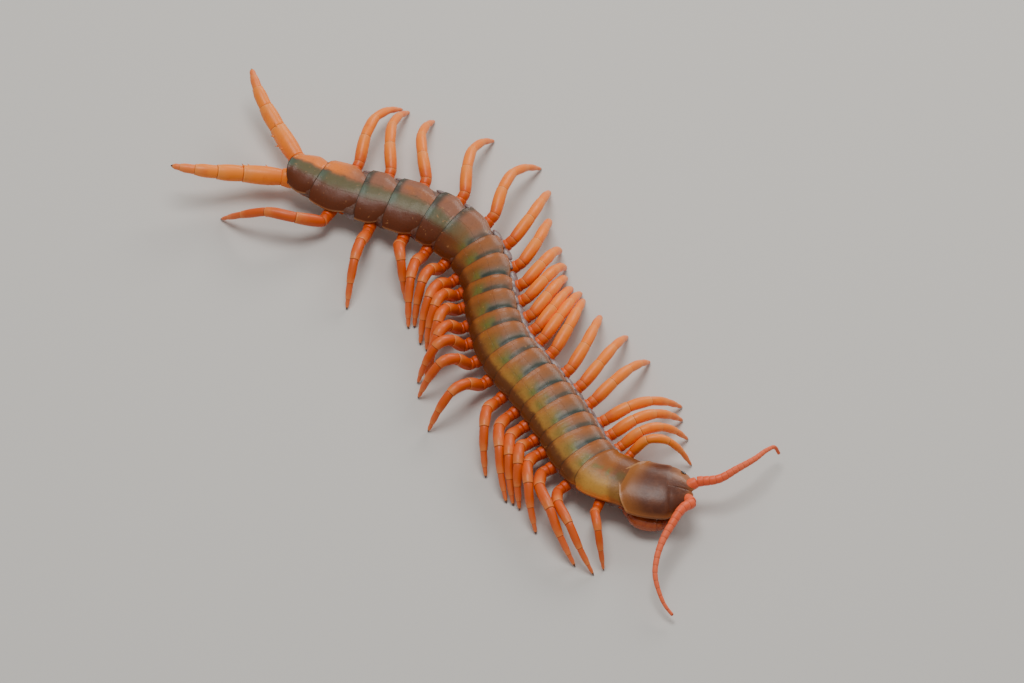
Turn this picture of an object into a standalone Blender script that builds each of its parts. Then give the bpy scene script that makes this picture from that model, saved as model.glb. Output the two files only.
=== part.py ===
"""Giant centipede, a still, life-size model of a scolopendrid in a walking pose.

Units are metres, +Z is up and the floor is z = 0. The head points towards -Y and the animal's left is +X.
The body is a row of 21 segments along one smooth line, each with a back plate, a belly plate and two legs.
"""
import bmesh
import bpy
import math
from mathutils import Matrix, Vector

MM = 0.001
GAP = 0.3 * MM
LEAD = 1.5 * MM
SEGMENTS = 21
SEGMENTS_PER_LENGTH = 3
SHORT_PLATES = (2, 4, 6, 9, 11, 13, 15, 17, 19)

# The middle line of the trunk seen from above, from the neck to the tail, in mm.
SPINE = ((-15.4, -78), (-18, -70.5), (-17.2, -62), (-13.4, -51), (-9.3, -36), (-4.5, -15), (4, -1),
         (12, 9.5), (16.8, 23), (16.2, 37), (11, 51), (4.5, 65), (-0.5, 81.5))
POSE_SHIFT = Vector((-7.8, 0.6, 0)) * MM

# Trunk sizes that change along the body: (share of the length from the neck, value).
HALF_WIDTH = ((0, 8.6), (0.06, 9.3), (0.3, 9.1), (0.5, 8.3), (0.72, 8.9), (0.9, 8.6), (1, 6.9))
ROLL = ((0, 2), (0.12, 9), (0.35, 15), (0.52, 23), (0.66, 18), (0.8, 9), (1, 3))
AXIS_HEIGHT = ((0, 8.2), (0.3, 8.9), (0.52, 9.6), (0.8, 8.6), (1, 8.2))
# Lengths of the long back plates in mm: (number of the segment, length). A short plate is a share of that.
LONG_PLATES = ((1, 10.6), (3, 7.4), (7, 8.1), (14, 8.3), (16, 12.2), (18, 13.8), (20, 15.4), (21, 9.4))
SHORT_SHARE = 0.72

# Half of a trunk section, from the middle of the back to the middle of the belly.
# Each point is (share of the half width, height over the axis in mm).
SECTION = ((0, 4.7), (0.36, 4.45), (0.68, 3.65), (0.9, 2.45), (1.0, 1.1),
           (0.88, 0.5), (0.82, -1.4), (0.66, -3.6), (0.45, -4.2), (0, -4.2))
BACK_POINTS = 5
# Rings of one segment: (share of its length, plate width, plate height, belly height).
PLATE_RINGS = ((0, 0.92, 0.9, 0.93), (0.16, 0.97, 0.96, 0.98), (0.5, 1, 0.99, 1),
               (0.86, 1, 1, 1), (1, 0.97, 1.02, 0.95))
PLATE_STEP = 0.35 * MM

COXA_INNER = (0.3, -2.2 * MM)
COXA_END_OUT = 1.6 * MM
COXA_END_HEIGHT = -1.3 * MM
COXA_RADIUS = (2.3 * MM, 1.75 * MM)
COXA_LEAN = 0.45
COXA_LEAN_LIMIT = 14
FIRST_COXA_LEAN_LIMIT = 27
COXA_LEAN_ARM = 0.4
SHORT_PLATE_HIP = 0.88
SMALL_LEGS = {1: 0.8, 2: 0.9}
COXA_SIDES = 10

# Gait: (swing forwards in degrees, reach in mm) of each walking leg, first pair to twentieth.
LEFT_GAIT = ((60, 19.5), (13, 23.5), (-2, 26), (-2, 28), (-22, 30), (-30, 31.5), (-38, 31.5), (-35, 31),
             (-33, 30), (-43, 27.5), (-50, 26.5), (-48, 25.5), (-56, 26), (-59, 29), (-44, 33), (-24, 34),
             (-20, 34), (-18, 34), (-9, 34), (0, 34))
RIGHT_GAIT = ((31, 19), (72, 30.5), (78, 34), (64, 26.5), (52, 22.5), (54, 26), (55, 30.5), (46, 27),
              (10, 23.5), (10, 20), (24, 19.5), (44, 20.5), (61, 22.5), (51, 22), (42, 24.5), (30, 23),
              (27, 27.5), (27, 20.5), (6, 28.5), (-72, 34))
LEG_SIDES_RESOLUTION = 1
LEG_RADIUS = 1.65 * MM
# Rings of a walking leg: (share of its length, share of its root radius). Two close together make a joint.
LEG_RINGS = ((0, 0.86), (0.02, 0.88), (0.13, 1), (0.27, 0.92), (0.3, 0.8), (0.4, 0.9), (0.51, 0.82),
             (0.535, 0.7), (0.63, 0.74), (0.73, 0.64), (0.755, 0.52), (0.93, 0.36), (1, 0.14))
KNEE_SHARE = 0.4
KNEE_HEIGHT = 12.2 * MM
KNEE_RISE = 2.6 * MM
# A leg that reaches less far than this is bent more: its knee rises by a share of the difference.
STRAIGHT_REACH = 27 * MM
KNEE_LIFT = 0.3
KNEE_BOW = -0.13
REAR_BOW = -0.085
REAR_BOW_FROM = 16
SHANK_BOW = 0.7
SHANK_SHARE = 0.76
SHANK_HEIGHT_SHARE = 0.6
THIGH_SHARE = 0.1
TIP_HEIGHT = 0.12 * MM

# Last pair of legs, held off the floor, seen from above and with height, in mm.
ULTIMATE_LEFT = ((3.4, 86.2, 8), (5.9, 95, 9), (8.1, 103.4, 11), (10.8, 111, 13), (13.6, 116.4, 14.2),
                 (15.4, 119.3, 14.4))
ULTIMATE_RIGHT = ((-5.6, 84, 8), (-11.8, 90.6, 9.2), (-19.2, 95.6, 11.8), (-25, 100.6, 13.8),
                  (-29, 105, 14.8), (-30.8, 108, 14.8))
ULTIMATE_RADIUS = 2.7 * MM
ULTIMATE_RINGS = ((0, 0.88), (0.12, 1), (0.33, 0.95), (0.36, 0.83), (0.45, 0.9), (0.57, 0.82), (0.59, 0.72),
                  (0.68, 0.74), (0.77, 0.62), (0.79, 0.54), (0.93, 0.4), (0.95, 0.28), (1, 0.07))
ULTIMATE_SPINES = ((0.1, 70), (0.18, 110), (0.26, 80), (0.31, 20))
SPINE_LENGTH = 1.5 * MM
SPINE_RADIUS = 0.45 * MM
TAIL_STUB_RADIUS = (3.1 * MM, 2.6 * MM)
TAIL_STUB_LENGTH = 5.5 * MM

HEAD_LENGTH = 21 * MM
HEAD_TURN = 17
NECK_LENGTH = 5 * MM
# Rings of the head: (share of its length, half width in mm, top height in mm, rim height in mm).
HEAD_RINGS = ((0, 8.7, 3.9, 0.6), (0.04, 9.3, 4.2, 0.6), (0.16, 10, 4.65, 0.5), (0.34, 10.2, 4.8, 0.4),
              (0.54, 10.1, 4.7, 0.3), (0.7, 9.4, 4.2, 0.3), (0.82, 8.2, 3.5, 0.4), (0.91, 6.7, 2.8, 0.5),
              (0.97, 5.1, 2.2, 0.5), (1, 3.9, 1.7, 0.5))
HEAD_SECTION = ((0, 1), (0.25, 0.97), (0.48, 0.87), (0.7, 0.68), (0.87, 0.4), (0.97, 0.12))
HEAD_UNDERSIDE = -0.6 * MM
MOUTH_SHARES = (0.57, 0.86)
MOUTH_HALF_WIDTH = 3.3 * MM
MOUTH_SECTION = ((-1, 0.6 * MM), (-1, 0), (-0.7, -2.1 * MM), (0.7, -2.1 * MM), (1, 0), (1, 0.6 * MM))

ANTENNA_ROOT = (0.94, 2.5 * MM, 1.1 * MM)
ANTENNA_WAY_LEFT = (0.85, 0.42, 0.3)
ANTENNA_WAY_RIGHT = (0.58, 0.68, 0.44)
ANTENNA_ROOT_LENGTH = 2.7 * MM
ANTENNA_SOCKET_RADIUS = (2.1 * MM, 1.9 * MM)
ANTENNA_SOCKET_DEPTH = 2.4 * MM
ANTENNA_LEFT = ((4.6, -98.9, 11.5), (10.5, -100.6, 12.4), (17.3, -101.6, 12), (24.1, -101, 10),
                (27, -101, 8.5), (28.2, -102, 5))
ANTENNA_RIGHT = ((-11.5, -99.2, 12.2), (-18.6, -101, 11.8), (-24.4, -102.9, 11), (-29.5, -105.6, 10),
                 (-33.7, -109, 8.5), (-36.1, -113, 6.5), (-37.5, -117, 4.5), (-37.7, -120.5, 3))
ANTENNA_RADIUS = (1.7 * MM, 0.5 * MM)
ANTENNA_ARTICLES = 18
ARTICLE_NECK = 0.84

OCELLI_PLACE = (0.85, 6.6 * MM, 1.75 * MM)
OCELLI_LOOK = (0.48, 0.62, 0.62)
OCELLI_WELL_HEIGHT = 2 * MM
OCELLI_PAD_RADIUS = 1.0 * MM
OCELLI_PAD_DEPTH = 0.5 * MM
OCELLUS_RADIUS = 0.42 * MM
OCELLUS_SPREAD = 0.52 * MM

JAW_BASE_RINGS = ((0, 7.2), (2.5, 7), (4.5, 5.6), (7, 4.6), (10, 3.8), (11.2, 3))
JAW_BASE_TOP = -1.1 * MM
JAW_BASE_BOTTOM = -4.3 * MM
JAW_STUB = ((2, 4.4), (5.2, 7.8))
JAW_STUB_RADIUS = (2.0 * MM, 1.9 * MM)
# Path of a poison claw from above: (forwards from the neck, outwards from the middle) in mm.
JAW_PATH = ((8.6, 9.6), (12.2, 9.4), (15.4, 7.4), (17.4, 4.4), (18.2, 1.3))
JAW_HEIGHT = -3.4 * MM
JAW_RADIUS = 2.15 * MM
JAW_RINGS = ((0, 0.85), (0.02, 0.87), (0.16, 1), (0.36, 0.95), (0.44, 0.84), (0.54, 0.78), (0.58, 0.66),
             (0.72, 0.46), (0.87, 0.26), (1, 0.08))

COLOURS = {
    "back": ((0.22, 0.1, 0.045, 1), 0.32),
    "leg": ((0.7, 0.17, 0.03, 1), 0.35),
    "head": ((0.19, 0.07, 0.035, 1), 0.22),
    "antenna": ((0.68, 0.12, 0.06, 1), 0.4),
    "eye": ((0.01, 0.01, 0.012, 1), 0.1),
    "jaw": ((0.45, 0.09, 0.02, 1), 0.28),
}


def clear_scene():
    for item in list(bpy.data.objects):
        bpy.data.objects.remove(item, do_unlink=True)


def new_collection(name):
    collection = bpy.data.collections.new(name)
    bpy.context.scene.collection.children.link(collection)
    return collection


def finish_material(name):
    material = bpy.data.materials.get(name)
    if material:
        return material
    colour, roughness = COLOURS[name]
    material = bpy.data.materials.new(name)
    material.use_nodes = True
    shader = material.node_tree.nodes["Principled BSDF"]
    shader.inputs["Base Color"].default_value = colour
    shader.inputs["Roughness"].default_value = roughness
    material.diffuse_color = colour
    return material


def between(stops, share):
    """Reads a value from (share, value) stops, eased between them."""
    if share <= stops[0][0]:
        return stops[0][1]
    for (share_a, value_a), (share_b, value_b) in zip(stops, stops[1:]):
        if share <= share_b:
            step = (share - share_a) / (share_b - share_a)
            step = step * step * (3 - 2 * step)
            return value_a + (value_b - value_a) * step
    return stops[-1][1]


def smooth_line(points, steps=16):
    """A smooth line through the points. It leaves the first and reaches the last one straight."""
    spans = [(b - a).length for a, b in zip(points, points[1:])]
    slopes = [(b - a) / span for a, b, span in zip(points, points[1:], spans)]
    tangents = [slopes[0]]
    for index in range(1, len(spans)):
        ahead, behind = spans[index], spans[index - 1]
        tangents.append((slopes[index - 1] * ahead + slopes[index] * behind) / (ahead + behind))
    tangents.append(slopes[-1])
    line = []
    for index, span in enumerate(spans):
        for step in range(steps):
            t = step / steps
            rest = 1 - t
            line.append(points[index] * (1 + 2 * t) * rest * rest + tangents[index] * span * t * rest * rest
                        + points[index + 1] * t * t * (3 - 2 * t) - tangents[index + 1] * span * t * t * rest)
    line.append(points[-1].copy())
    return line


class Path:
    """A line measured by its length."""

    def __init__(self, points):
        self.points = smooth_line(points)
        self.marks = [0]
        for a, b in zip(self.points, self.points[1:]):
            self.marks.append(self.marks[-1] + (b - a).length)
        self.length = self.marks[-1]

    def at(self, distance):
        distance = min(max(distance, 0), self.length)
        for index in range(1, len(self.marks)):
            if distance <= self.marks[index]:
                break
        span = self.marks[index] - self.marks[index - 1]
        share = (distance - self.marks[index - 1]) / span
        return self.points[index - 1].lerp(self.points[index], share)

    def direction(self, distance):
        step = 0.4 * MM
        return (self.at(distance + step) - self.at(distance - step)).normalized()


SPINE_PATH = Path([Vector((x * MM, y * MM, 0)) + POSE_SHIFT for x, y in SPINE])


def plate_lengths():
    """Lengths of the 21 segments, made to fill the middle line: long and short plates in turn."""
    lengths = []
    for number in range(1, SEGMENTS + 1):
        share = SHORT_SHARE if number in SHORT_PLATES else 1
        lengths.append(between(LONG_PLATES, number) * share)
    scale = SPINE_PATH.length / sum(lengths)
    return [length * scale for length in lengths]


def plate_starts():
    starts = [0]
    for length in plate_lengths():
        starts.append(starts[-1] + length)
    return starts


STARTS = plate_starts()


def trunk_frame(distance):
    """Centre, left, up and forward directions of the trunk at a distance from the neck."""
    share = distance / SPINE_PATH.length
    forward = -SPINE_PATH.direction(distance)
    left = Vector((0, 0, 1)).cross(forward)
    roll = Matrix.Rotation(math.radians(between(ROLL, share)), 3, forward)
    centre = SPINE_PATH.at(distance)
    centre.z = between(AXIS_HEIGHT, share) * MM
    left = roll @ left
    up = forward.cross(left)
    return centre, left, up, forward


def link_mesh(name, bm, collection, colour):
    mesh = bpy.data.meshes.new(name)
    bm.to_mesh(mesh)
    bm.free()
    item = bpy.data.objects.new(name, mesh)
    collection.objects.link(item)
    mesh.materials.append(finish_material(colour))
    return item


def loft(rings):
    """Joins rings of equal count into a closed skin with flat ends."""
    bm = bmesh.new()
    loops = [[bm.verts.new(point) for point in ring] for ring in rings]
    for ring_a, ring_b in zip(loops, loops[1:]):
        for index in range(len(ring_a)):
            after = (index + 1) % len(ring_a)
            bm.faces.new((ring_a[index], ring_a[after], ring_b[after], ring_b[index]))
    bm.faces.new(list(reversed(loops[0])))
    bm.faces.new(loops[-1])
    bmesh.ops.recalc_face_normals(bm, faces=bm.faces)
    return bm


def largest_shell(item):
    """Keeps only the largest closed surface of a mesh."""
    bm = bmesh.new()
    bm.from_mesh(item.data)
    bmesh.ops.remove_doubles(bm, verts=bm.verts, dist=0.000002)
    bm.faces.ensure_lookup_table()
    seen = set()
    shells = []
    for face in bm.faces:
        if face in seen:
            continue
        shell = [face]
        seen.add(face)
        for member in shell:
            for edge in member.edges:
                for other in edge.link_faces:
                    if other not in seen:
                        seen.add(other)
                        shell.append(other)
        shells.append(shell)
    shells.sort(key=lambda shell: sum(face.calc_area() for face in shell))
    loose = [face for shell in shells[:-1] for face in shell]
    if loose:
        bmesh.ops.delete(bm, geom=loose, context="FACES")
    bm.to_mesh(item.data)
    bm.free()


def fuse(item, extras, operation="UNION"):
    """Joins the extra solids to the item, or cuts them from it, and removes them."""
    group = bpy.data.collections.new(item.name + "_extras")
    bpy.context.scene.collection.children.link(group)
    for extra in extras:
        for owner in list(extra.users_collection):
            owner.objects.unlink(extra)
        group.objects.link(extra)
    modifier = item.modifiers.new("join", "BOOLEAN")
    modifier.operation = operation
    modifier.operand_type = "COLLECTION"
    modifier.collection = group
    modifier.solver = "EXACT"
    depsgraph = bpy.context.evaluated_depsgraph_get()
    joined = bpy.data.meshes.new_from_object(item.evaluated_get(depsgraph))
    item.modifiers.remove(modifier)
    old = item.data
    item.data = joined
    joined.name = item.name
    bpy.data.meshes.remove(old)
    for extra in list(group.objects):
        bpy.data.objects.remove(extra, do_unlink=True)
    bpy.data.collections.remove(group)
    largest_shell(item)


def cone_between(name, start, end, radii, sides, collection, colour):
    """A closed cone or cylinder from one point to another."""
    axis = end - start
    bm = bmesh.new()
    bmesh.ops.create_cone(bm, cap_ends=True, segments=sides, radius1=radii[0], radius2=radii[1],
                          depth=axis.length)
    turn = axis.to_track_quat("Z", "Y").to_matrix().to_4x4()
    bmesh.ops.transform(bm, matrix=Matrix.Translation((start + end) / 2) @ turn, verts=bm.verts)
    return link_mesh(name, bm, collection, colour)


def tube(name, path, rings, radius, collection, colour, resolution):
    """A tapered limb: a curve with a round bevel and filled caps, made a closed mesh."""
    curve = bpy.data.curves.new(name + "_line", "CURVE")
    curve.dimensions = "3D"
    curve.bevel_depth = 1
    curve.bevel_resolution = resolution
    curve.use_fill_caps = True
    curve.twist_mode = "Z_UP"
    spline = curve.splines.new("POLY")
    spline.points.add(len(rings) - 1)
    for point, (share, size) in zip(spline.points, rings):
        point.co = (*path.at(share * path.length), 1)
        point.radius = size * radius
    source = bpy.data.objects.new(name + "_line", curve)
    collection.objects.link(source)
    depsgraph = bpy.context.evaluated_depsgraph_get()
    mesh = bpy.data.meshes.new_from_object(source.evaluated_get(depsgraph))
    bpy.data.objects.remove(source, do_unlink=True)
    bpy.data.curves.remove(curve)
    bm = bmesh.new()
    bm.from_mesh(mesh)
    bpy.data.meshes.remove(mesh)
    bmesh.ops.remove_doubles(bm, verts=bm.verts, dist=0.000005)
    bmesh.ops.recalc_face_normals(bm, faces=bm.faces)
    return link_mesh(name, bm, collection, colour)


def cut_at_floor(item):
    """Gives a foot its small flat at z = 0."""
    bm = bmesh.new()
    bm.from_mesh(item.data)
    geometry = list(bm.verts) + list(bm.edges) + list(bm.faces)
    bmesh.ops.bisect_plane(bm, geom=geometry, plane_co=(0, 0, 0), plane_no=(0, 0, 1), clear_inner=True)
    rim = [edge for edge in bm.edges if edge.is_boundary]
    bmesh.ops.holes_fill(bm, edges=rim)
    bmesh.ops.recalc_face_normals(bm, faces=bm.faces)
    bm.to_mesh(item.data)
    bm.free()


def trunk_ring(distance, width, back, belly):
    """The points of one trunk section."""
    centre, left, up, forward = trunk_frame(distance)
    half = between(HALF_WIDTH, distance / SPINE_PATH.length) * MM
    side = []
    for index, (share, height) in enumerate(SECTION):
        tall = back if index < BACK_POINTS else belly
        wide = width if index < BACK_POINTS + 1 else 1
        side.append((share * half * wide, height * MM * tall))
    whole = side + [(-x, z) for x, z in reversed(side[1:-1])]
    return [centre + left * x + up * z for x, z in whole]


def coxa_frame(number, side):
    """Where a leg leaves the trunk: the end of its hip stub and the way it points."""
    distance = (STARTS[number - 1] + STARTS[number]) / 2
    centre, left, up, forward = trunk_frame(distance)
    half = between(HALF_WIDTH, distance / SPINE_PATH.length) * MM
    swing, reach = (LEFT_GAIT if side > 0 else RIGHT_GAIT)[number - 1]
    out = left * side
    inner = centre + out * half * COXA_INNER[0] + up * COXA_INNER[1]
    end = centre + out * (half + COXA_END_OUT) + up * COXA_END_HEIGHT
    limit = FIRST_COXA_LEAN_LIMIT if number == 1 else COXA_LEAN_LIMIT
    lean = math.radians(max(-limit, min(limit, swing * COXA_LEAN)))
    level_out = Vector((out.x, out.y, 0)).normalized()
    level_forward = Vector((forward.x, forward.y, 0)).normalized()
    end = end + level_forward * math.tan(lean) * half * COXA_LEAN_ARM
    return inner, end, level_out, level_forward, swing, reach


def add_trunk(collection):
    """The trunk in lengths of three segments, with the hip stubs of their legs."""
    for first in range(1, SEGMENTS + 1, SEGMENTS_PER_LENGTH):
        last = first + SEGMENTS_PER_LENGTH - 1
        rings = []
        for number in range(first, last + 1):
            start = STARTS[number - 1] + (GAP if number == first and number > 1 else PLATE_STEP)
            end = STARTS[number]
            for share, width, back, belly in PLATE_RINGS:
                rings.append(trunk_ring(start + (end - start) * share, width, back, belly))
        name = "trunk_%02d_to_%02d" % (first, last)
        trunk = link_mesh(name, loft(rings), collection, "back")
        stubs = []
        for number in range(first, min(last, SEGMENTS - 1) + 1):
            for side in (1, -1):
                inner, end = coxa_frame(number, side)[:2]
                scale = SMALL_LEGS.get(number, 1) * (SHORT_PLATE_HIP if number in SHORT_PLATES else 1)
                radii = [radius * scale for radius in COXA_RADIUS]
                stubs.append(cone_between("hip", inner, end, radii, COXA_SIDES, collection, "leg"))
        if last == SEGMENTS:
            for side in (1, -1):
                start, end = tail_stub(side)
                stubs.append(cone_between("hip", start, end, TAIL_STUB_RADIUS, COXA_SIDES, collection, "leg"))
        fuse(trunk, stubs)


def leg_path(number, side):
    """The line of a walking leg, from its hip up to the knee and down to the floor."""
    inner, end, out, forward, swing, reach = coxa_frame(number, side)
    axis = (end - inner).normalized()
    root = end + axis * GAP
    turn = math.radians(swing)
    way = out * math.cos(turn) + forward * math.sin(turn)
    across = forward * math.cos(turn) - out * math.sin(turn)
    reach *= MM
    foot = root + way * reach
    foot.z = TIP_HEIGHT
    rearward = side > 0 and number >= REAR_BOW_FROM
    bow = across * reach * (REAR_BOW if rearward else KNEE_BOW * math.sin(turn))
    knee = root + way * reach * KNEE_SHARE + bow
    lift = max(0, STRAIGHT_REACH - reach) * KNEE_LIFT
    knee.z = max(KNEE_HEIGHT, root.z + KNEE_RISE) + lift
    shank = root + way * reach * SHANK_SHARE + bow * SHANK_BOW
    shank.z = knee.z * SHANK_HEIGHT_SHARE
    thigh = root + axis * reach * THIGH_SHARE
    return Path([root, thigh, knee, shank, foot])


def add_walking_legs(collection):
    for number in range(1, SEGMENTS):
        for side, word in ((1, "left"), (-1, "right")):
            name = "leg_%s_%02d" % (word, number)
            path = leg_path(number, side)
            radius = LEG_RADIUS * SMALL_LEGS.get(number, 1)
            leg = tube(name, path, LEG_RINGS, radius, collection, "leg", LEG_SIDES_RESOLUTION)
            cut_at_floor(leg)


def points_in_metres(points):
    return [Vector(point) * MM + POSE_SHIFT for point in points]


def ultimate_path(side):
    return Path(points_in_metres(ULTIMATE_LEFT if side > 0 else ULTIMATE_RIGHT))


def tail_stub(side):
    """The swollen hip that each leg of the last pair grows from."""
    path = ultimate_path(side)
    axis = path.direction(0)
    root = path.at(0) - axis * GAP
    return root - axis * TAIL_STUB_LENGTH, root


def add_ultimate_legs(collection):
    for side, word in ((1, "left"), (-1, "right")):
        path = ultimate_path(side)
        leg = tube("ultimate_leg_" + word, path, ULTIMATE_RINGS, ULTIMATE_RADIUS, collection, "leg", 2)
        spines = []
        for share, angle in ULTIMATE_SPINES:
            axis = path.direction(share * path.length)
            inward = Vector((0, 0, 1)).cross(axis).normalized() * side
            turn = math.radians(angle)
            way = inward * math.sin(turn) + Vector((0, 0, 1)) * math.cos(turn)
            root = path.at(share * path.length) + way * ULTIMATE_RADIUS * 0.55
            tip = root + (way + axis * 0.7).normalized() * (SPINE_LENGTH + ULTIMATE_RADIUS * 0.45)
            radii = (SPINE_RADIUS, SPINE_RADIUS * 0.2)
            spines.append(cone_between("spine", root, tip, radii, 5, collection, "leg"))
        fuse(leg, spines)


def head_frame(share):
    """Centre, left, up and forward directions of the head, which is turned a little to the animal's left."""
    centre, left, up, forward = trunk_frame(0)
    start = centre + forward * GAP
    turned = Matrix.Rotation(math.radians(HEAD_TURN), 3, up) @ forward
    path = Path([start, start + forward * NECK_LENGTH, start + forward * NECK_LENGTH
                 + turned * (HEAD_LENGTH - NECK_LENGTH)])
    ahead = path.direction(share * path.length)
    place = path.at(share * path.length) + turned * max(0, share - 1) * HEAD_LENGTH
    return place, up.cross(ahead), up, ahead


def head_point(share, outward, height):
    """A point of the head from its share of the length, its distance left and its height over the axis."""
    centre, left, up, forward = head_frame(share)
    return centre + left * outward + up * height


def head_ring(share, half_width, top, rim):
    side = [(x * half_width * MM, (rim + (top - rim) * z) * MM) for x, z in HEAD_SECTION]
    side.append((half_width * MM, (rim - 0.3) * MM))
    side.append((half_width * 0.9 * MM, HEAD_UNDERSIDE))
    side.append((0, HEAD_UNDERSIDE))
    whole = side + [(-x, z) for x, z in reversed(side[1:-1])]
    return [head_point(share, x, z) for x, z in whole]


def antenna_path(side):
    share, outward, height = ANTENNA_ROOT
    seat = head_point(share, outward * side, height)
    points = points_in_metres(ANTENNA_LEFT if side > 0 else ANTENNA_RIGHT)
    centre, left, up, forward = head_frame(share)
    ahead, aside, rise = ANTENNA_WAY_LEFT if side > 0 else ANTENNA_WAY_RIGHT
    axis = (forward * ahead + left * side * aside + up * rise).normalized()
    root = seat + axis * ANTENNA_ROOT_LENGTH
    return seat, root, axis, Path([root + axis * GAP, root + axis * LEAD] + points)


def ocelli_frame(side):
    """The middle of an eye cluster on the head's front corner and the way it looks."""
    share, outward, height = OCELLI_PLACE
    place = head_point(share, outward * side, height)
    centre, left, up, forward = head_frame(share)
    ahead, aside, rise = OCELLI_LOOK
    look = (forward * ahead + left * side * aside + up * rise).normalized()
    return place, look


def add_head(collection, cutters):
    head = link_mesh("head", loft([head_ring(*ring) for ring in HEAD_RINGS]), collection, "head")
    extras = []
    for side in (1, -1):
        seat, root, axis, path = antenna_path(side)
        inner = seat - axis * ANTENNA_SOCKET_DEPTH
        extras.append(cone_between("socket", inner, root, ANTENNA_SOCKET_RADIUS, 12, collection, "head"))
    mouth = []
    for share in MOUTH_SHARES:
        mouth.append([head_point(share, x * MOUTH_HALF_WIDTH, height) for x, height in MOUTH_SECTION])
    extras.append(link_mesh("mouth", loft(mouth), collection, "head"))
    fuse(head, extras)
    wells = []
    for side in (1, -1):
        place, look = ocelli_frame(side)
        radius = OCELLI_PAD_RADIUS + GAP
        bottom = place - look * (OCELLI_PAD_DEPTH + GAP)
        top = place + look * OCELLI_WELL_HEIGHT
        well = cone_between("well", bottom, top, (radius, radius), 12, cutters, "head")
        well.hide_render = True
        well.display_type = "WIRE"
        wells.append(well)
    fuse(head, wells, "DIFFERENCE")


def add_ocelli(collection):
    """Four small domed eyes on one low pad, in a well on each side of the head."""
    for side, word in ((1, "left"), (-1, "right")):
        place, look = ocelli_frame(side)
        pad = cone_between("ocelli_" + word, place - look * OCELLI_PAD_DEPTH, place,
                           (OCELLI_PAD_RADIUS, OCELLI_PAD_RADIUS), 12, collection, "eye")
        across = look.orthogonal().normalized()
        domes = []
        for index in range(4):
            turn = Matrix.Rotation(math.radians(45 + 90 * index), 3, look)
            centre = place + turn @ across * OCELLUS_SPREAD
            bm = bmesh.new()
            bmesh.ops.create_icosphere(bm, subdivisions=1, radius=OCELLUS_RADIUS)
            bmesh.ops.translate(bm, verts=bm.verts, vec=centre)
            domes.append(link_mesh("dome", bm, collection, "eye"))
        fuse(pad, domes)


def add_antennae(collection):
    """Antennae of 18 short articles that narrow to the tip."""
    rings = []
    for index in range(ANTENNA_ARTICLES):
        for inside, size in ((0.0, ARTICLE_NECK), (0.55, 1.0)):
            share = (index + inside) / ANTENNA_ARTICLES
            radius = ANTENNA_RADIUS[0] + (ANTENNA_RADIUS[1] - ANTENNA_RADIUS[0]) * share ** 0.8
            rings.append((share, radius * size))
    rings.append((1, ANTENNA_RADIUS[1] * 0.6))
    for side, word in ((1, "left"), (-1, "right")):
        path = antenna_path(side)[3]
        tube("antenna_" + word, path, rings, 1, collection, "antenna", 1)


def jaw_point(ahead, outward, height, side):
    return head_point(ahead * MM / HEAD_LENGTH, outward * side * MM, height)


def add_jaws(collection):
    """The poison claws and the broad plate under the head that carries them."""
    rings = []
    for ahead, half in JAW_BASE_RINGS:
        corners = ((-1, 1), (-1, -0.2), (-0.8, -1), (0.8, -1), (1, -0.2), (1, 1))
        middle = (JAW_BASE_TOP + JAW_BASE_BOTTOM) / 2
        tall = (JAW_BASE_TOP - JAW_BASE_BOTTOM) / 2
        rings.append([jaw_point(ahead, x * half, middle + z * tall, 1) for x, z in corners])
    base = link_mesh("forcipule_base", loft(rings), collection, "jaw")
    stubs = []
    for side, word in ((1, "left"), (-1, "right")):
        inner, outer = (jaw_point(ahead, outward, JAW_HEIGHT + 0.5 * MM, side) for ahead, outward in JAW_STUB)
        stubs.append(cone_between("stub", inner, outer, JAW_STUB_RADIUS, 10, collection, "jaw"))
        axis = (outer - inner).normalized()
        points = [jaw_point(ahead, outward, JAW_HEIGHT, side) for ahead, outward in JAW_PATH]
        path = Path([outer + axis * GAP, outer + axis * LEAD] + points)
        tube("forcipule_" + word, path, JAW_RINGS, JAW_RADIUS, collection, "jaw", 2)
    fuse(base, stubs)


def main():
    clear_scene()
    collection = new_collection("giant_centipede")
    cutters = new_collection("cutters")
    add_trunk(collection)
    add_walking_legs(collection)
    add_ultimate_legs(collection)
    add_head(collection, cutters)
    add_ocelli(collection)
    add_antennae(collection)
    add_jaws(collection)


main()
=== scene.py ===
"""Giant centipede: the shell plates, skin, jointed legs, head and finishes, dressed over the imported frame.

Units are metres, +Z is up and the floor is z = 0. The head points towards -Y and the animal's left is +X.
Tables hold millimetres and degrees. A share is a place along a length, from 0 to 1.
"""
import bmesh
import bpy
import math
from bisect import bisect_right
from mathutils import Matrix, Vector, noise


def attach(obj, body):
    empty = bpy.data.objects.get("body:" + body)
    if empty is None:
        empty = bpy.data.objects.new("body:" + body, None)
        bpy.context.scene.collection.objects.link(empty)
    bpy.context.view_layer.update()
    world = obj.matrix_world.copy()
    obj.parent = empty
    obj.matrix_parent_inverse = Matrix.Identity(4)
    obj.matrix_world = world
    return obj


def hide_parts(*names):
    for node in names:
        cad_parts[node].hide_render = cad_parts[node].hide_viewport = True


bl_info = {
    "name": "Giant centipede",
    "version": (1, 0, 0),
    "blender": (4, 5, 0),
    "location": "View3D > Sidebar > Centipede",
    "description": "Builds the shell, legs, head and finishes of a giant centipede over its solid frame",
    "category": "Object",
}

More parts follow.
